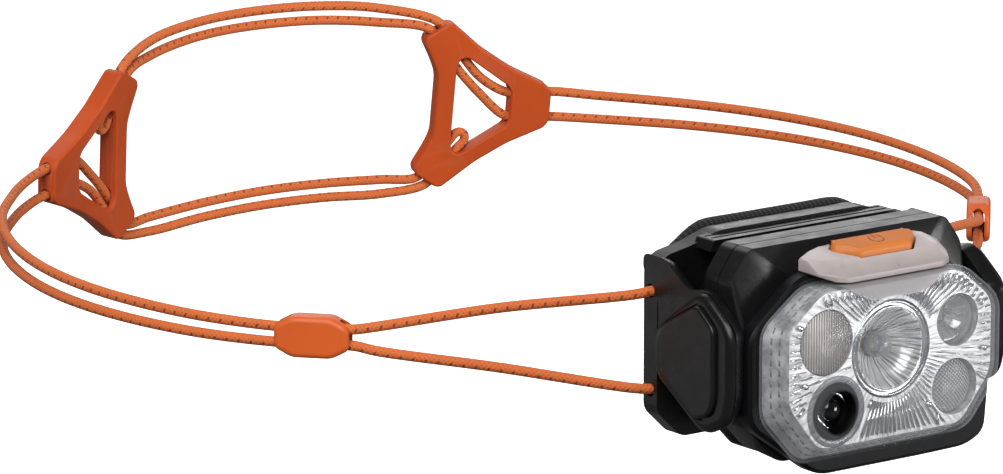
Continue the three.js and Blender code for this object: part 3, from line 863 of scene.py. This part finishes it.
def add_tube(name, line, radius):
    """A round tube along a line, with the turn round it in u and the distance along it in v."""
    tangents = [(b - a).normalized() for a, b in zip(line, line[1:])]
    tangents.append(tangents[-1])
    normal = tangents[0].orthogonal().normalized()
    ring = circle((0, 0), radius, TUBE_SIDES)
    stations, travelled = [], [0.0]
    for k, (here, way) in enumerate(zip(line, tangents)):
        if k:
            travelled.append(travelled[-1] + (here - line[k - 1]).length)
            normal = (normal - way * normal.dot(way)).normalized()
        stations.append(((here, normal, way.cross(normal)), ring))
    shape = Shape().loft(stations, lambda a, b, at: at[0] + at[1] * a + at[2] * b)
    made = make_object(name, shape, [CORD])
    uvs = made.data.uv_layers.new(name="wound")
    for polygon in made.data.polygons:
        spots = [divmod(made.data.loops[loop].vertex_index, TUBE_SIDES) for loop in polygon.loop_indices]
        wraps = any(i == TUBE_SIDES - 1 for _, i in spots)
        for loop, (step, i) in zip(polygon.loop_indices, spots):
            uvs.data[loop].uv = (1.0 if wraps and i == 0 else i / TUBE_SIDES, travelled[step])
    return made, travelled[-1]


def add_cord(node, points):
    line = smooth_curve(points, CURVE_STEP)
    made, length = add_tube("braided_" + node, line, CORD_RADIUS)
    settle(made, "headband", "elastic_cord", node)
    path = [place(*p) for p in line]


# ---- headband: sliders and triangles
def plate(outline, thick, matrix, rim=0.0, flare=0.0):
    """A flat plate drawn in a frame's x-y plane, centred on its own thickness.

    Its two faces meet its sides in quarter rounds of radius rim. A cutter is given a flare instead,
    which leaves such rounds on the opening it cuts.
    """
    def put(a, b, level):
        return matrix @ Vector((a, b, level))
    steps = [math.pi / 8 * k for k in range(5)] if rim or flare else [0]
    half = []
    for turn in steps:
        level = thick / 2 - (rim + flare) * (1 - math.sin(turn))
        half.append((level, inset(outline, (rim - flare) * (1 - math.cos(turn)))))
    if flare:
        half.append((thick / 2 + 1, inset(outline, -flare)))
    return Shape().loft([(-level, ring) for level, ring in reversed(half)] + half, put)


def cord_bore(matrix, a, b, radius=BORE_RADIUS):
    """A round bore between two points of a frame's x-y plane."""
    start, end = matrix @ Vector((*a, 0)), matrix @ Vector((*b, 0))
    turn = (end - start).to_track_quat("X", "Z").to_matrix().to_4x4()
    put = Matrix.Translation(start) @ turn
    ring = circle((0, 0), radius, 24)
    stations = [(0, ring), ((end - start).length, ring)]
    return Shape().loft(stations, lambda y, z, x: put @ Vector((x, y, z)))


def slot_tool(matrix, a, b, across, radius=BORE_RADIUS):
    """Two bores side by side, joined by a flat slot, along a line of a frame's x-y plane."""
    a, b = Vector(a), Vector(b)
    side = square_to(a, b) * across
    middle = plate(strip(a, b, side), radius * 1.9, matrix)
    return [middle] + [cord_bore(matrix, a + way, b + way, radius) for way in (side, -side)]


SLIDER_LONG, SLIDER_HIGH, SLIDER_THICK = 15.2, 8.4, 5.0
SLIDER_RIM = 1.05
SLIDER_CORNER = (3.6, 2.3)  # how far each chamfer runs along the slider, and where it ends across it
SLIDER_MOUTH = 5.0  # the slot is wider from here to the front end, where the two strands part
TRIANGLE_THICK = 4.6
TRIANGLE_RIM, OPENING_FLARE = 0.55, 0.4
TRIANGLE_ROUND = 1.6
UPPER_EDGE = [(28.3, 3.4), (27.2, 4.9), (19.0, 8.5), (12.0, 12.8), (4.6, 18.8), (3.2, 18.8), (-1.6, 15.8),
              (-1.9, 14.2), (0.2, 10.4), (1.8, 6.8)]
WINDOW_EDGE = [(19.1, 3.2), (18.3, 4.6), (8.6, 11.0), (6.8, 11.0), (5.9, 9.0)]


def mirror_down(points):
    return [(u, -v) for u, v in reversed(points)]


def add_plate(name, shape, body, paint, node, tools, matrix):
    """An orange plate of the headband, with its two flat faces kept flat in the shading."""
    made = piece(name, shape, body, "orange_plastic", paint, [node], edge=0.15, segments=2, carved=tools)
    facing = (matrix.to_3x3() @ Vector((0, 0, 1))).normalized()
    for polygon in made.data.polygons:
        polygon.use_smooth = abs(polygon.normal.dot(facing)) < 0.999


def add_slider(side_name, matrix):
    """An eight-cornered slider with a slot through it for the two strands."""
    half, high = SLIDER_LONG / 2, SLIDER_HIGH / 2
    run, rise = SLIDER_CORNER
    outline = rounded([
        (half, -rise), (half, rise), (half - run, high), (run - half, high),
        (-half, rise), (-half, -rise), (run - half, -high), (half - run, -high)], 1.1)
    shape = plate(outline, SLIDER_THICK, matrix, rim=SLIDER_RIM)
    tools = slot_tool(matrix, (-half - 1, 0), (half + 1, 0), SLOT_HALF)
    tools += slot_tool(matrix, (-half - 1, 0), (-SLIDER_MOUTH, 0), SLOT_HALF + 0.5)
    add_plate("cord_slider_" + side_name, shape, side_name + "_slider", LIT_SLIDER_ORANGE,
              "slider_" + side_name, tools, matrix)


def add_triangle(side_name, matrix):
    """The plate that spreads the two cords, with a window and bores for the strands."""
    outline = rounded(UPPER_EDGE + mirror_down(UPPER_EDGE), TRIANGLE_ROUND)
    opening = rounded(WINDOW_EDGE + mirror_down(WINDOW_EDGE), TRIANGLE_ROUND)
    shape = plate(outline, TRIANGLE_THICK, matrix, rim=TRIANGLE_RIM)
    tools = [plate(opening, TRIANGLE_THICK, matrix, flare=OPENING_FLARE)]
    for side in (1, -1):
        tools.append(cord_bore(matrix, (15, side * FRONT_HOLE), (33, side * FRONT_HOLE)))
        ends = [CORNER_FROM + CORNER_WAY * along for along in (-2, 14)]
        tools += slot_tool(matrix, *[(end.x, side * end.y) for end in ends], CORNER_HALF, 1.25)
    add_plate("cord_triangle_" + side_name, shape, "headband", ORANGE, "triangle_" + side_name,
              tools, matrix)


# ---- headband: bracket, covers, pad
PIVOT_Y, PIVOT_Z = 20.4, -0.7
PIVOT_HOLE, BRACKET_HOLE = 2.35, 1.4
PLATE_OUTLINE = rounded(both_sides([
    (27.5, -20.0), (33.6, -14.2), (33.6, 14.8), (31.4, 17.2), (24.4, 18.5), (18.4, 20.5)]), 1.6)
ARM_OUTLINE = rounded([
    (37.5, 17.4), (37.5, 13.6), (34.4, 12.4), (32.6, 8.0), (32.6, -5.6), (17.0, -15.2), (9.6, -11.8),
    (8.0, -6.4), (8.0, 7.0), (17.4, 13.8), (23.0, 12.4), (27.0, 14.8), (30.4, 17.4)], 1.8)
# Each step across an arm: where it stands, and how far its outline is drawn in there.
ARM_ROUND = ((31.2, 0.95), (31.9, 0.6), (32.6, 0.35), (33.2, 0.15), (33.8, 0.0))
COVER_OUTLINE = rounded([
    (32.7, 3.4), (32.7, -5.7), (17.0, -15.4), (9.5, -12.0), (7.9, -6.4), (7.9, 7.0), (17.4, 13.9)], 3.4)
PANEL_OUTLINE = rounded([
    (29.1, 4.6), (29.1, -4.3), (17.9, -12.2), (13.4, -10.4), (12.2, -7.0), (12.2, 6.9), (17.6, 11.0)], 1.6)


def add_bracket():
    """The plate behind the forehead pad, with a grooved lip on top and an arm down each side."""
    made = make_object("forehead_bracket", Shape().slab(33.2, 37.5, PLATE_OUTLINE), [BLACK])
    arm = Shape().loft_x(*stepped(ARM_OUTLINE, *ARM_ROUND))
    lip = rounded(both_sides([(24.2, 17.6), (23.2, 19.9)]), 0.5)
    carve(made, arm, arm.mirrored(), Shape().slab(28.6, 34, lip), operation="UNION")
    tools = [Shape().block((-22.4, 22.4), (y, y + 0.7), (19.3, 21)) for y in (30.2, 32.3)]
    for side in (1, -1):
        tools.append(Shape().bar_x(PIVOT_Y, PIVOT_Z, sorted((side * 30, side * 40)), PIVOT_HOLE))
        for up in (1, -1):
            ends = sorted((side * 24, side * 37))
            tools.append(Shape().bar_x(CORD_DEPTH, up * CORD_HEIGHT, ends, BRACKET_HOLE))
    carve(made, *tools)
    soften(made, 1.0, 4)
    settle(made, "headband", "satin_black", "bracket")


# Each step of a side cover's bulge: how far out its outline stands, and how far in it is drawn.
COVER_BULGE = ((33.9, 0.15), (34.2, 0.0), (34.7, 0.2), (35.1, 0.6), (35.35, 1.2), (35.45, 1.9))
PANEL_BULGE = ((34.8, 0.0), (35.9, 0.0), (36.25, 0.25), (36.4, 0.8))
PANEL_MOAT = ((34.9, -0.45), (37, -0.45))


def add_cover(side_name):
    """A bulged side cover with a raised panel in a fine groove."""
    steps = ((COVER_OUTLINE, COVER_BULGE), (PANEL_OUTLINE, PANEL_BULGE), (PANEL_OUTLINE, PANEL_MOAT))
    shapes = [Shape().loft_x(*stepped(outline, *rise)) for outline, rise in steps]
    bulge, panel, moat = [shape.mirrored() if side_name == "left" else shape for shape in shapes]
    made = make_object("side_cover_" + side_name, bulge, [BLACK])
    carve(made, moat)
    carve(made, panel, operation="UNION")
    soften(made, 0.22, 3, 40)
    settle(made, "headband", "satin_black", "pivot_cover_" + side_name)


PAD_OUTLINE = rounded(both_sides([(25.6, -18.2), (30.4, -13.4), (30.4, 14.0), (18.2, 21.8)]), 3.4)
PAD_SCALE = 10  # the cloth is solved at this many times the pad's size
PAD_SWELL = 0.45  # mm, the furthest a point of the pad moves outwards
PAD_VOXEL = 9 * MM
PAD_FRAMES = 20


def swell(made):
    """Inflates a pad as cloth, and keeps every point within PAD_SWELL of where it began."""
    before = [v.co.copy() for v in made.data.vertices]
    cloth = made.modifiers.new("cloth", "CLOTH")
    cloth.settings.use_pressure = True
    cloth.settings.uniform_pressure_force = 4
    cloth.settings.effector_weights.gravity = 0
    cloth.settings.quality = 5
    cloth.point_cache.frame_end = PAD_FRAMES
    for step in range(1, PAD_FRAMES + 1):
        bpy.context.scene.frame_set(step)
    bake_modifiers(made)
    cap = PAD_SWELL * PAD_SCALE * MM
    for vertex, start in zip(made.data.vertices, before):
        moved = vertex.co - start
        if moved.length > cap:
            vertex.co = start + moved.normalized() * cap
    bpy.context.scene.frame_set(1)


def add_pad():
    """The forehead pad: foam in a knit cover that bulges within its edge."""
    shape = Shape().loft_y(*stepped(PAD_OUTLINE, (38.1, 0.9), (38.6, 0), (41.2, 0), (42.0, 0.9)))
    made = make_object("knit_pad", shape, [KNIT])
    centre = place(0, 40, PAD_MIDDLE_Z)
    for vertex in made.data.vertices:
        vertex.co = (vertex.co - centre) * PAD_SCALE
    remesh = made.modifiers.new("skin", "REMESH")
    remesh.mode = "VOXEL"
    remesh.voxel_size = PAD_VOXEL
    bake_modifiers(made)
    swell(made)
    for vertex in made.data.vertices:
        vertex.co = vertex.co / PAD_SCALE + centre
    for polygon in made.data.polygons:
        polygon.use_smooth = True
    smooth = made.modifiers.new("smooth", "SUBSURF")
    smooth.levels = smooth.render_levels = 1
    settle(made, "headband", "knit_fabric", "pad_cover", "pad_foam")


# ---- lamp: window, rim, tray
WINDOW_FRONT = rounded(both_sides([(18.5, -18.8), (26.7, -8.6), (26.7, 7.2), (17.6, 14.7)]), 3)
WINDOW_REAR = rounded(both_sides([(19.5, -21.6), (29.0, -11.2), (29.0, 7.0), (18.6, 14.7)]), 3)
RIM_OUTLINE = rounded([
    (13.8, -24.8), (24.5, -24.6), (29.3, -22.4), (30.2, -12.0), (30.2, 3.4), (18.2, 15.6),
    (-18.4, 16.2), (-31.2, 5.8), (-31.0, -12.4), (-13.8, -24.8)], 3.4)
# Where the tray's flat front and its sloped side stand along y, and the outlines there.
TRAY_FRONT = 2.0
TRAY_OUTLINE = inset(WINDOW_FRONT, 1.1)
WALL_FRONT, WALL_REAR = 2.4, 7.2
TRAY_WALL = ((WALL_FRONT, inset(WINDOW_FRONT, 0.95)), (WALL_REAR, inset(WINDOW_REAR, 0.85)))
# The tray's materials, and the numbers its faces call them by.
TRAY_PAINTS = [PLATED, PLATED_BRIGHT, DARK_LENS, WALL, LADDER]
BRIGHT_PAINT, COLLAR_PAINT, WALL_PAINT, LADDER_PAINT = 1, 2, 3, 4
LADDER_LEVELS, LADDER_COUNT = (3.7, 5.3), 72
RAY_COUNT, RAY_INNER, RAY_OUTER, RAY_STEP, RAY_SHORTEST = 92, 10.7, 40.7, 0.25, 1.5
TOOTH_COUNT, TOOTH_LONG = 84, 2.1
TRAY_PEGS = ((-23.2, 7.4), (9.6, -12.6), (-4.4, 12.0), (23.6, -3.2), (-21.8, -4.4))


def add_window():
    shape = Shape().loft_y(*stepped(WINDOW_FRONT, (0, 0.9), (0.25, 0.35), (0.8, 0)), (7, WINDOW_REAR))
    hollow = Shape().loft_y((1.2, inset(WINDOW_FRONT, 0.7)), (8, inset(WINDOW_REAR, 0.6)))
    piece("window_shell", shape, "lamp", "clear_window", CLEAR, ["front_window"], carved=[hollow])


def add_rim():
    opening = Shape().slab(7, 12, inset(WINDOW_REAR, 2.0))
    shape = Shape().loft_y(*stepped(RIM_OUTLINE, (7.3, 0.7), (7.9, 0), (10.6, 0), (11.2, 0.5)))
    piece("window_rim", shape, "lamp", "black_plastic", BLACK_RIM, ["front_rim"], 0.25, carved=[opening])


def inside(outline, x, z):
    """True within an outline: a line to one side crosses it an odd number of times."""
    found = False
    for (ax, az), (bx, bz) in zip(outline, outline[1:] + outline[:1]):
        if (az > z) != (bz > z) and x < (bx - ax) * (z - az) / (bz - az) + ax:
            found = not found
    return found


def clear_of_lenses(x, z, margin=0.9):
    """True where a point lies outside every lens but the spot, and outside the sensor's collar."""
    rings = (*LENSES[1:-1], (SENSOR, SENSOR_R + SENSOR_COLLAR))
    return all(math.hypot(x - cx, z - cz) > r + margin for (cx, cz), r in rings)


def radial_runs(angle, outline):
    """The stretches of a ray from the spot lens that lie free on the tray."""
    runs, start = [], None
    for k in range(int((RAY_OUTER - RAY_INNER) / RAY_STEP)):
        r = RAY_INNER + k * RAY_STEP
        x, z = r * math.cos(angle), r * math.sin(angle)
        free = inside(outline, x, z) and clear_of_lenses(x, z)
        if free and start is None:
            start = r
        if not free and start is not None:
            runs.append((start, r - RAY_STEP))
            start = None
    return [run for run in runs if run[1] - run[0] > RAY_SHORTEST]


def bar_on_tray(shape, a, b, width, high):
    """A low bar with a sloped crest on the tray, from a to b in (x, z), in the brighter plated finish as a
    painted highlight line.
    """
    a, b = Vector(a), Vector(b)
    side = square_to(a, b) * width / 2
    crest, foot = strip(a, b, side * 0.25), strip(a, b, side)
    shape.loft_y((TRAY_FRONT - high, crest), (TRAY_FRONT + 0.15, foot), paint=BRIGHT_PAINT)


def on_outline(outline, count):
    """Points spread evenly round a closed outline, each with its inward normal."""
    points = [Vector(p) for p in outline]
    edges = list(zip(points, points[1:] + points[:1]))
    lengths = [(b - a).length for a, b in edges]
    total, found = sum(lengths), []
    centre = sum(points, Vector((0, 0))) / len(points)
    for k in range(count):
        left = total * k / count
        for (a, b), length in zip(edges, lengths):
            if left <= length:
                at = a.lerp(b, left / length)
                normal = square_to(a, b)
                found.append((at, normal if normal.dot(centre - at) >= 0 else -normal))
                break
            left -= length
    return found


def on_ray_field(at):
    """True on the stretch below the spot lens, where the long rays run right to the edge."""
    return at.y < -12 and -7 < at.x < 12


def add_ladder(relief, level):
    """A ring of short dark dashes round the tray's sloped side, painted grey as painted shade."""
    share = (level - WALL_FRONT) / (WALL_REAR - WALL_FRONT)
    (_, near), (_, far) = TRAY_WALL
    wall = [Vector(a).lerp(Vector(b), share) for a, b in zip(near, far)]
    for at, inward in on_outline(wall, LADDER_COUNT):
        along = Vector((-inward.y, inward.x)) * 0.62
        foot = strip(at + inward * 0.2, at - inward * 0.22, along)
        relief.slab(level, level + 0.3, foot, LADDER_PAINT)


def add_tray():
    """The plated tray: rays of ribs round the spot lens, teeth along its edge, ladders and pegs."""
    shape = Shape().loft_y((TRAY_FRONT, TRAY_OUTLINE), *TRAY_WALL)
    made = make_object("plated_tray", shape, TRAY_PAINTS)
    carve(made, *[Shape().slab(1, 9, circle(at, r + 0.3, 64)) for at, r in LENSES])
    for polygon in made.data.polygons:
        if polygon.normal.y > -0.9:
            polygon.material_index = WALL_PAINT
    relief = Shape()
    # The ribs and teeth take a brighter plated finish than the tray around them: painted highlight lines.
    field = inset(TRAY_OUTLINE, 0.7)
    for k in range(RAY_COUNT):
        angle = 2 * math.pi * k / RAY_COUNT
        for run in radial_runs(angle, field):
            a, b = [(r * math.cos(angle), r * math.sin(angle)) for r in run]
            bar_on_tray(relief, a, b, 0.34, 0.55)
    for at, inward in on_outline(inset(TRAY_OUTLINE, 0.5), TOOTH_COUNT):
        far = at + inward * TOOTH_LONG
        if clear_of_lenses(far.x, far.y, 0.4) and not on_ray_field(far):
            bar_on_tray(relief, at, far, 0.5, 0.6)
    for level in LADDER_LEVELS:
        add_ladder(relief, level)
    for x, z in TRAY_PEGS:
        relief.turned([(0, TRAY_FRONT - 0.9), (0.55, TRAY_FRONT - 0.8), (0.6, TRAY_FRONT + 0.2),
                       (0, TRAY_FRONT + 0.2)], x, z, 20, BRIGHT_PAINT)
    collar = [(5.7, 1.9), (6.0, 1.6), (6.6, 1.8), (7.0, 1.7), (7.3, 2.3)]
    relief.turned([(5.7, 3.6), *collar, (7.3, 3.6), (5.7, 3.6)], *SENSOR, 72, COLLAR_PAINT)
    details = make_object("tray_details", relief, TRAY_PAINTS)
    settle(made, "lamp", "mirror_tray", "lens_tray")
    settle(details, "lamp", "mirror_tray")
    soften(made, 0.15, 2)


def add_cup(name, at, radius, throat, front, flutes=0, paint=PLATED_BRIGHT):
    """The plated cone behind a lens, open at its light source."""
    def fluted_radius(here, y, i):
        return here * (1 - 0.035 * (i % 2)) if flutes and y < 7.6 and here < radius - 0.3 else here
    deep, wide = [throat + (radius - throat) * share for share in (0.35, 0.72)]
    profile = [(throat, 7.9), (deep, 6.9), (wide, 5.2), (radius - 0.15, front), (radius, front),
               (radius, front + 0.9), (throat + 0.4, 8.1), (throat, 7.9)]
    shape = Shape().turned(profile, *at, sides=flutes or 64, twist=fluted_radius)
    piece(name, shape, "lamp", "mirror_tray", paint)


def add_spot():
    add_cup("spot_cup", SPOT, 8.1, 2.7, 2.3, flutes=120, paint=CUP)
    lens = Shape().turned(
        [(0, 3.5), (1.1, 3.65), (2.0, 4.2), (2.5, 5.2), (2.6, 7.7), (0, 7.7)], *SPOT, sides=48)
    piece("spot_optic", lens, "lamp", "clear_lens", DOME, ["spot_lens"])
    bezel = Shape().turned(
        [(8.2, 6.6), (8.2, 2.3), (8.35, 2.05), (8.5, 2.05), (8.6, 2.5), (9.2, 2.5), (9.3, 2.15),
         (9.45, 2.15), (9.55, 2.6), (9.55, 6.6), (8.2, 6.6)], *SPOT, sides=96)
    piece("spot_bezel", bezel, "lamp", "mirror_tray", PLATED_BRIGHT, ["spot_ring"])


def add_flood():
    """The flood lens: a round window whose front is cut into upright flutes."""
    add_cup("flood_cup", FLOOD, 6.1, 2.3, 4.3)
    flute, front, rear = 0.6, 2.1, 3.9
    stations = []
    count = 168
    for k in range(count + 1):
        x = -FLOOD_R + 2 * FLOOD_R * k / count
        half = max(math.sqrt(max(FLOOD_R ** 2 - x * x, 0)), 0.05)
        y = front - 0.2 * abs(math.sin(math.pi * x / flute)) + 0.01 * x * x
        low, high = FLOOD[1] - half, FLOOD[1] + half
        stations.append((FLOOD[0] + x, [(y, low), (y, high), (rear, high), (rear, low)]))
    piece("flood_optic", Shape().loft_x(*stations), "lamp", "clear_lens", FLUTED, ["flood_lens"])


def add_domed(name, node, at, radius, paint=LENS, relief=None):
    """A domed lens whose front may carry a fine relief, given as a function of (x, z)."""
    rings = [(radius * k / 24, 2.0 + 1.5 * (k / 24) ** 2.4) for k in range(25)]
    shape = Shape().turned(rings + [(radius, 4.6), (0, 4.6)], *at, sides=120)
    if relief:
        def raised(p):
            reach = math.hypot(p.x - at[0], p.z - at[1])
            return p + Vector((0, relief(p.x, p.z), 0)) if p.y < 4 and reach < radius * 0.95 else p
        shape.moved(raised)
    piece(name, shape, "lamp", "clear_lens", paint, [node])


def pillows(x, z):
    turns = 2 * math.pi / PILLOW_PITCH
    return 0.11 * math.cos(turns * x) * math.cos(turns * z)


def crescent(x, z, middle, half):
    """A sliver of a ring round the eye, thickest at its middle angle: the shape of a painted glint."""
    outer, inner = [], []
    for k in range(17):
        turn = math.radians(middle + half * (k / 8 - 1))
        thick = 0.1 + 0.5 * math.cos(math.pi / 2 * (k / 8 - 1))
        for line, reach in ((outer, 3.7), (inner, 3.7 - thick)):
            line.append((x + reach * math.cos(turn), z + reach * math.sin(turn)))
    return outer + inner[::-1]


def add_sensor():
    x, z = SENSOR
    barrel = Shape().turned(
        [(0, 8.6), (5.5, 8.6), (5.5, 1.9), (5.2, 1.5), (4.8, 1.6), (4.5, 2.2), (4.3, 2.9), (4.3, 4.6),
         (0, 4.6)], x, z, 72)
    piece("sensor_tube", barrel, "lamp", "black_plastic", DEEP_BLACK, ["sensor_barrel"])
    dome = Shape().turned(
        [(0, 2.0), (0.9, 2.15), (1.7, 2.6), (2.3, 3.3), (2.6, 4.2), (2.6, 4.5), (0, 4.5)], x, z, 48)
    piece("sensor_eye", dome, "lamp", "clear_lens", EYE, ["sensor_dome"])
    # Two bright plated crescents round the eye are painted glints, reflections set down as shapes.
    glints = Shape()
    for middle, half in ((225, 48), (52, 40)):
        glints.slab(3.2, 3.5, crescent(x, z, middle, half))
    piece("sensor_glints", glints, "lamp", "mirror_tray", PLATED_BRIGHT)


# ---- lamp: hood and button
def add_hood():
    end = [(4.8, 16.2), (10.9, 16.2), (10.9, 18.4), (10.3, 18.9), (8.2, 18.7), (6.6, 17.8), (4.8, 16.8)]
    shoulder = [(1.6, 15.3), (10.9, 15.3), (10.9, 19.4), (10.3, 20.0), (5.6, 18.9), (4.0, 17.9), (1.6, 16.4)]
    middle = [(0.5, 15.0), (10.9, 15.0), (10.9, 20.0), (10.3, 20.6), (3.6, 19.1), (2.6, 17.9), (0.5, 16.2)]
    half = [(16.4, end), (14.2, shoulder), (11.6, middle)]
    shape = Shape().loft_x(*half, *[(-x, outline) for x, outline in reversed(half)])
    pocket = Shape().loft_z((17.4, button_plan(0.35)), (24, button_plan(0.35)))
    well = Shape().block((-3.3, 3.3), (5.2, 9.2), (16.0, 18))
    piece("frosted_hood", shape, "lamp", "frosted_hood", HOOD, ["button_hood"], edge=0.45, segments=4,
          carved=[pocket, well])


BUTTON_TILT = 0.2
BUTTON_SLOPE = Matrix.Translation((0, 6.9, 21.2)) @ Matrix.Rotation(BUTTON_TILT, 4, "X")
SYMBOL_RADIUS, SYMBOL_STROKE = 1.5, 0.34


def on_slope(x, y, level):
    """A point above the key's sloped top."""
    return BUTTON_SLOPE @ Vector((x, y, level))


def button_plan(grow, lean=0.0):
    """The key's outline from above, grown all round, with its front edge leaning back."""
    return both_sides([(6.4 + grow, 3.8 - grow + lean), (10.2 + grow, 7.4), (10.2 + grow, 8.8),
                       (8.4 + grow, 9.9 + grow)])


def add_button():
    """The key with a sloped top, and the generic power symbol on it: a broken ring with a tick."""
    plan = button_plan(0)
    shape = Shape().loft_z((18.2, plan), (19.8, plan), (22.2, button_plan(-0.7, 0.9)))
    slope = Shape().block((-12, 12), (-6, 6), (0, 4)).moved(lambda p: on_slope(*p))
    made = piece("power_key", shape, "button", "orange_plastic", ORANGE_BUTTON, ["power_button"],
                 edge=0.5, segments=5, carved=[slope])
    made.modifiers["edges"].angle_limit = math.radians(20)
    inner, outer = SYMBOL_RADIUS - SYMBOL_STROKE / 2, SYMBOL_RADIUS + SYMBOL_STROKE / 2
    turns = [math.radians(125 + k * 290 / 32) for k in range(33)]
    way = [Vector((math.cos(turn), math.sin(turn))) for turn in turns]
    arc = [outer * ray for ray in way] + [inner * ray for ray in reversed(way)]
    half = SYMBOL_STROKE / 2
    tick = [(-half, 0.3), (half, 0.3), (half, 2.1), (-half, 2.1)]
    symbol = Shape()
    for outline in (arc, tick):
        symbol.loft([(-0.15, outline), (0.03, outline)], on_slope)
    piece("power_symbol", symbol, "button", "orange_plastic", ORANGE_MARK)


# ---- lamp: body
BODY_FRONT = rounded(both_sides([(20, -22.2), (28.4, -13.0), (28.6, 4.5), (18.5, 14.6)]), 2.6)
BODY_MIDDLE = rounded(both_sides([(22, -20.6), (29.2, -13.0), (29.2, 15.0), (25.0, 20.8)]), 1.4)
BODY_REAR = rounded(both_sides([(20, -11.5), (26.8, -8.0), (26.8, 11.6), (22.4, 16.2)]), 1.4)
BODY_WALL = 1.7


def add_body():
    """The hollow housing, with a seam round it, a pivot hole in each side and a hole for the port."""
    shape = Shape().loft_y(
        (12.6, BODY_FRONT), (15.6, BODY_MIDDLE), (23.8, BODY_MIDDLE), (28.2, BODY_REAR))
    hollow = Shape().loft_y(
        *stepped(BODY_FRONT, (12.0, BODY_WALL), (12.6, BODY_WALL)),
        *stepped(BODY_MIDDLE, (15.6, BODY_WALL), (22.6, BODY_WALL)), *stepped(BODY_REAR, (26.5, BODY_WALL)))
    groove = make_object("groove", Shape().slab(19.6, 19.9, inset(BODY_MIDDLE, -2)))
    carve(groove, Shape().slab(19.0, 20.5, inset(BODY_MIDDLE, 0.35)))
    pivots = [Shape().bar_x(PIVOT_Y, PIVOT_Z, ends, PIVOT_HOLE) for ends in ((26, 31), (-31, -26))]
    port = Shape().block((9.4, 19.6), (16.7, 20.9), (-22, -17))
    piece("body_housing", shape, "lamp", "satin_black", BLACK, ["body_shell"], 0.5,
          carved=[groove, hollow, *pivots, port])


# ---- build
add_camera()
add_cord("cord_right", cord_route(1))
add_cord("cord_left", [flip(p) for p in cord_route(-1)])
add_studio()

for hand, turn in (("right", Matrix.Identity(4)), ("left", Matrix.Scale(-1, 4, Vector((1, 0, 0))))):
    add_slider(hand, turn @ SLIDER_FRAME)
    add_triangle(hand, turn @ TRIANGLE_FRAME)
    add_cover(hand)
add_bracket()
add_pad()
add_window()
add_rim()
add_tray()
add_spot()
add_flood()
add_cup("upper_cup", UPPER, 4.8, 2.0, 4.9, paint=UPPER_CUP)
add_domed("upper_optic", "upper_lens", UPPER, UPPER_R)
add_cup("lower_cup", LOWER, 5.2, 2.0, 4.9, paint=LOWER_CUP)
add_domed("lower_optic", "lower_lens", LOWER, LOWER_R, GRID, pillows)
add_sensor()
add_hood()
add_button()
add_body()

for node in ("rim_gasket", "port_cap"):
    repaint(node, RUBBER, 0.2)
for node in ("driver_board", "light_board"):
    repaint(node, BOARD)
for node in ("spot_emitter", "flood_emitter", "upper_emitter", "lower_emitter"):
    repaint(node, PHOSPHOR, 0.15)
for node in ("pivot_pin_left", "pivot_pin_right", "charge_port"):
    repaint(node, STEEL, 0.2)
repaint("battery_cell", FOIL, 0.6)
repaint("button_switch", BLACK, 0.2)
